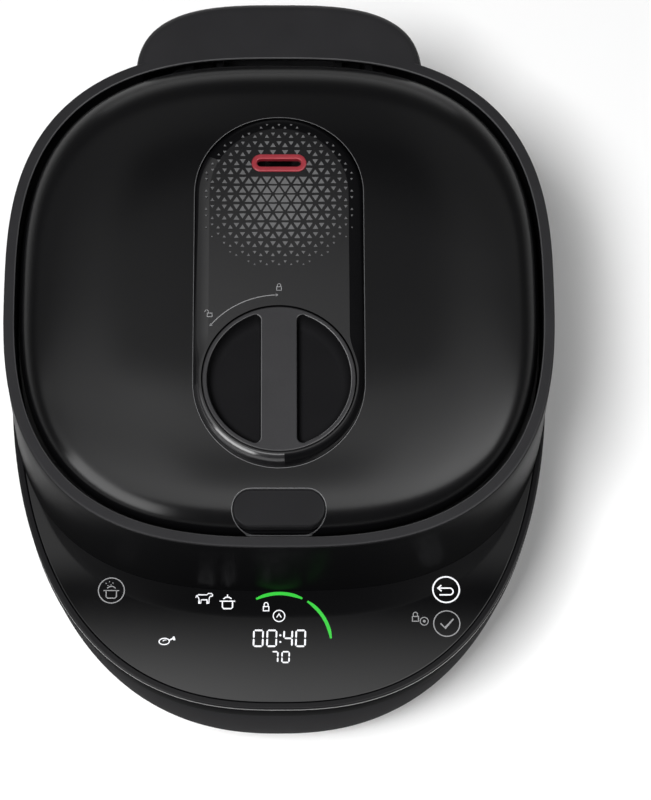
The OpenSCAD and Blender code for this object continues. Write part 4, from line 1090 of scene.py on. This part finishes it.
def sky_card():
    """Overhead softbox, brightest in front and to the right; its dark middle shows in the level glass."""
    nt, at = reflector("card_sky", [(SKY_LEFT, SKY_FRONT, SKY_Z), (SKY_RIGHT, SKY_FRONT, SKY_Z),
                                    (SKY_RIGHT, SKY_REAR, SKY_Z), (SKY_LEFT, SKY_REAR, SKY_Z)])

    def step(operation, *values):
        return maths(nt, operation, *values)

    def over(axis, *lists):
        return [profile(nt, at[axis], stops) for stops in lists]

    wide, middle, to_back, halo_y = over("Y", SKY_WIDE, SKY_MIDDLE, SKY_BACK, SKY_HALO_Y)
    front, back, mask, halo_x = over("X", SKY_TILT_FRONT, SKY_TILT_BACK, SKY_MASK, SKY_HALO_X)
    level = step("MULTIPLY_ADD", step("SUBTRACT", middle, wide), mask, wide)
    tilt = step("MULTIPLY_ADD", step("SUBTRACT", back, front), to_back, front)
    shade = step("SUBTRACT", 1.0, step("MULTIPLY", halo_x, halo_y))
    shine(nt, node(nt, "Emission", {"Strength": step("MULTIPLY", step("MULTIPLY", level, tilt), shade)}))


# The camera: degrees below level, place in metres, focal length and picture in the photograph's pixels
CAMERA_PITCH, CAMERA_AT = 70.9, (0, -0.5384, 1.6657)
SENSOR, FOCAL, PHOTO_W, PHOTO_H, CENTRE_X = 36, 2700, 651, 800, 279

FLOOR_REACH, FLOOR_COLOR, FLOOR_GLOW = 9000, (0.80, 0.80, 0.80, 1), 0.18
FLOOR_FADE = 0.75, 2.6, 0.85  # metres where the floor starts and stops whitening, and by how much
WORLD_LIGHT = 0.14
KEY_AT, KEY_AIM, KEY_SIZE, KEY_WATTS = (-0.46, -0.72, 2.5), (0, 0, 0.1), 0.55, 75
SKY_Z, SKY_FRONT, SKY_REAR, SKY_LEFT, SKY_RIGHT = 1.70, -2.1, 2.6, -6, 5.5

# The overhead card's strength: over its depth, outside and inside the middle strip that SKY_MASK picks; its
# tilt from left to right, in front and, as SKY_BACK rises, behind; and a soft dark patch (SKY_HALO) above the
# front of the lid
SKY_WIDE = [(-2.25, 4.3), (-1.0, 4.3), (0.0, 2.4), (0.6, 0.7), (1.0, 0.5), (2.6, 0.5)]
SKY_MIDDLE = [(-2.25, 4.3), (-1.0, 4.3), (0.0, 2.5), (0.15, 2.7), (0.26, 0.05), (0.29, 0.05), (0.32, 0.9),
              (0.65, 0.6), (0.7, 0.05), (1.0, 0.05), (1.2, 0.4), (2.6, 0.5)]
SKY_MASK = [(-6.0, 0.0), (-0.66, 0.0), (-0.46, 1.0), (0.46, 1.0), (0.66, 0.0), (5.5, 0.0)]
SKY_TILT_FRONT = [(-6.0, 0.4), (-2.5, 0.45), (-0.3, 0.9), (0.3, 1.0), (1.2, 1.5), (5.5, 1.5)]
SKY_TILT_BACK = [(-6.0, 0.75), (-2.0, 0.85), (-0.8, 1.15), (-0.25, 1.3), (0.0, 0.85), (0.3, 0.75),
                 (1.0, 1.15), (5.5, 1.35)]
SKY_BACK = [(-2.25, 0.0), (-0.3, 0.0), (0.14, 1.0), (2.6, 1.0)]
SKY_HALO_X = [(-6.0, 0.0), (-0.40, 0.0), (-0.20, 1.0), (0.20, 1.0), (0.40, 0.0), (5.5, 0.0)]
SKY_HALO_Y = [(-2.2, 0.0), (-1.1, 0.0), (-0.70, 0.60), (-0.42, 0.72), (-0.25, 0.35), (-0.08, 0.0), (2.6, 0.0)]

build_camera()
build_floor()
build_key()
sky_card()
card("card_back", (-1.5, 2.7, 0.0), (3.0, 0, 0), (0, 0, 0.9), 1.3, fade=("Z", 0.3, 0.9))
card("card_left", (-1.9, -0.9, 0.30), (1.1, -1.1, 0), (0, 0, 0.90), 8.0)

world = bpy.data.worlds.new("world")
bpy.context.scene.world = world
world.use_nodes = True
background = world.node_tree.nodes["Background"].inputs
put(background["Color"], (1, 1, 1, 1))
put(background["Strength"], WORLD_LIGHT)

bpy.context.scene.view_settings.view_transform = "Standard"
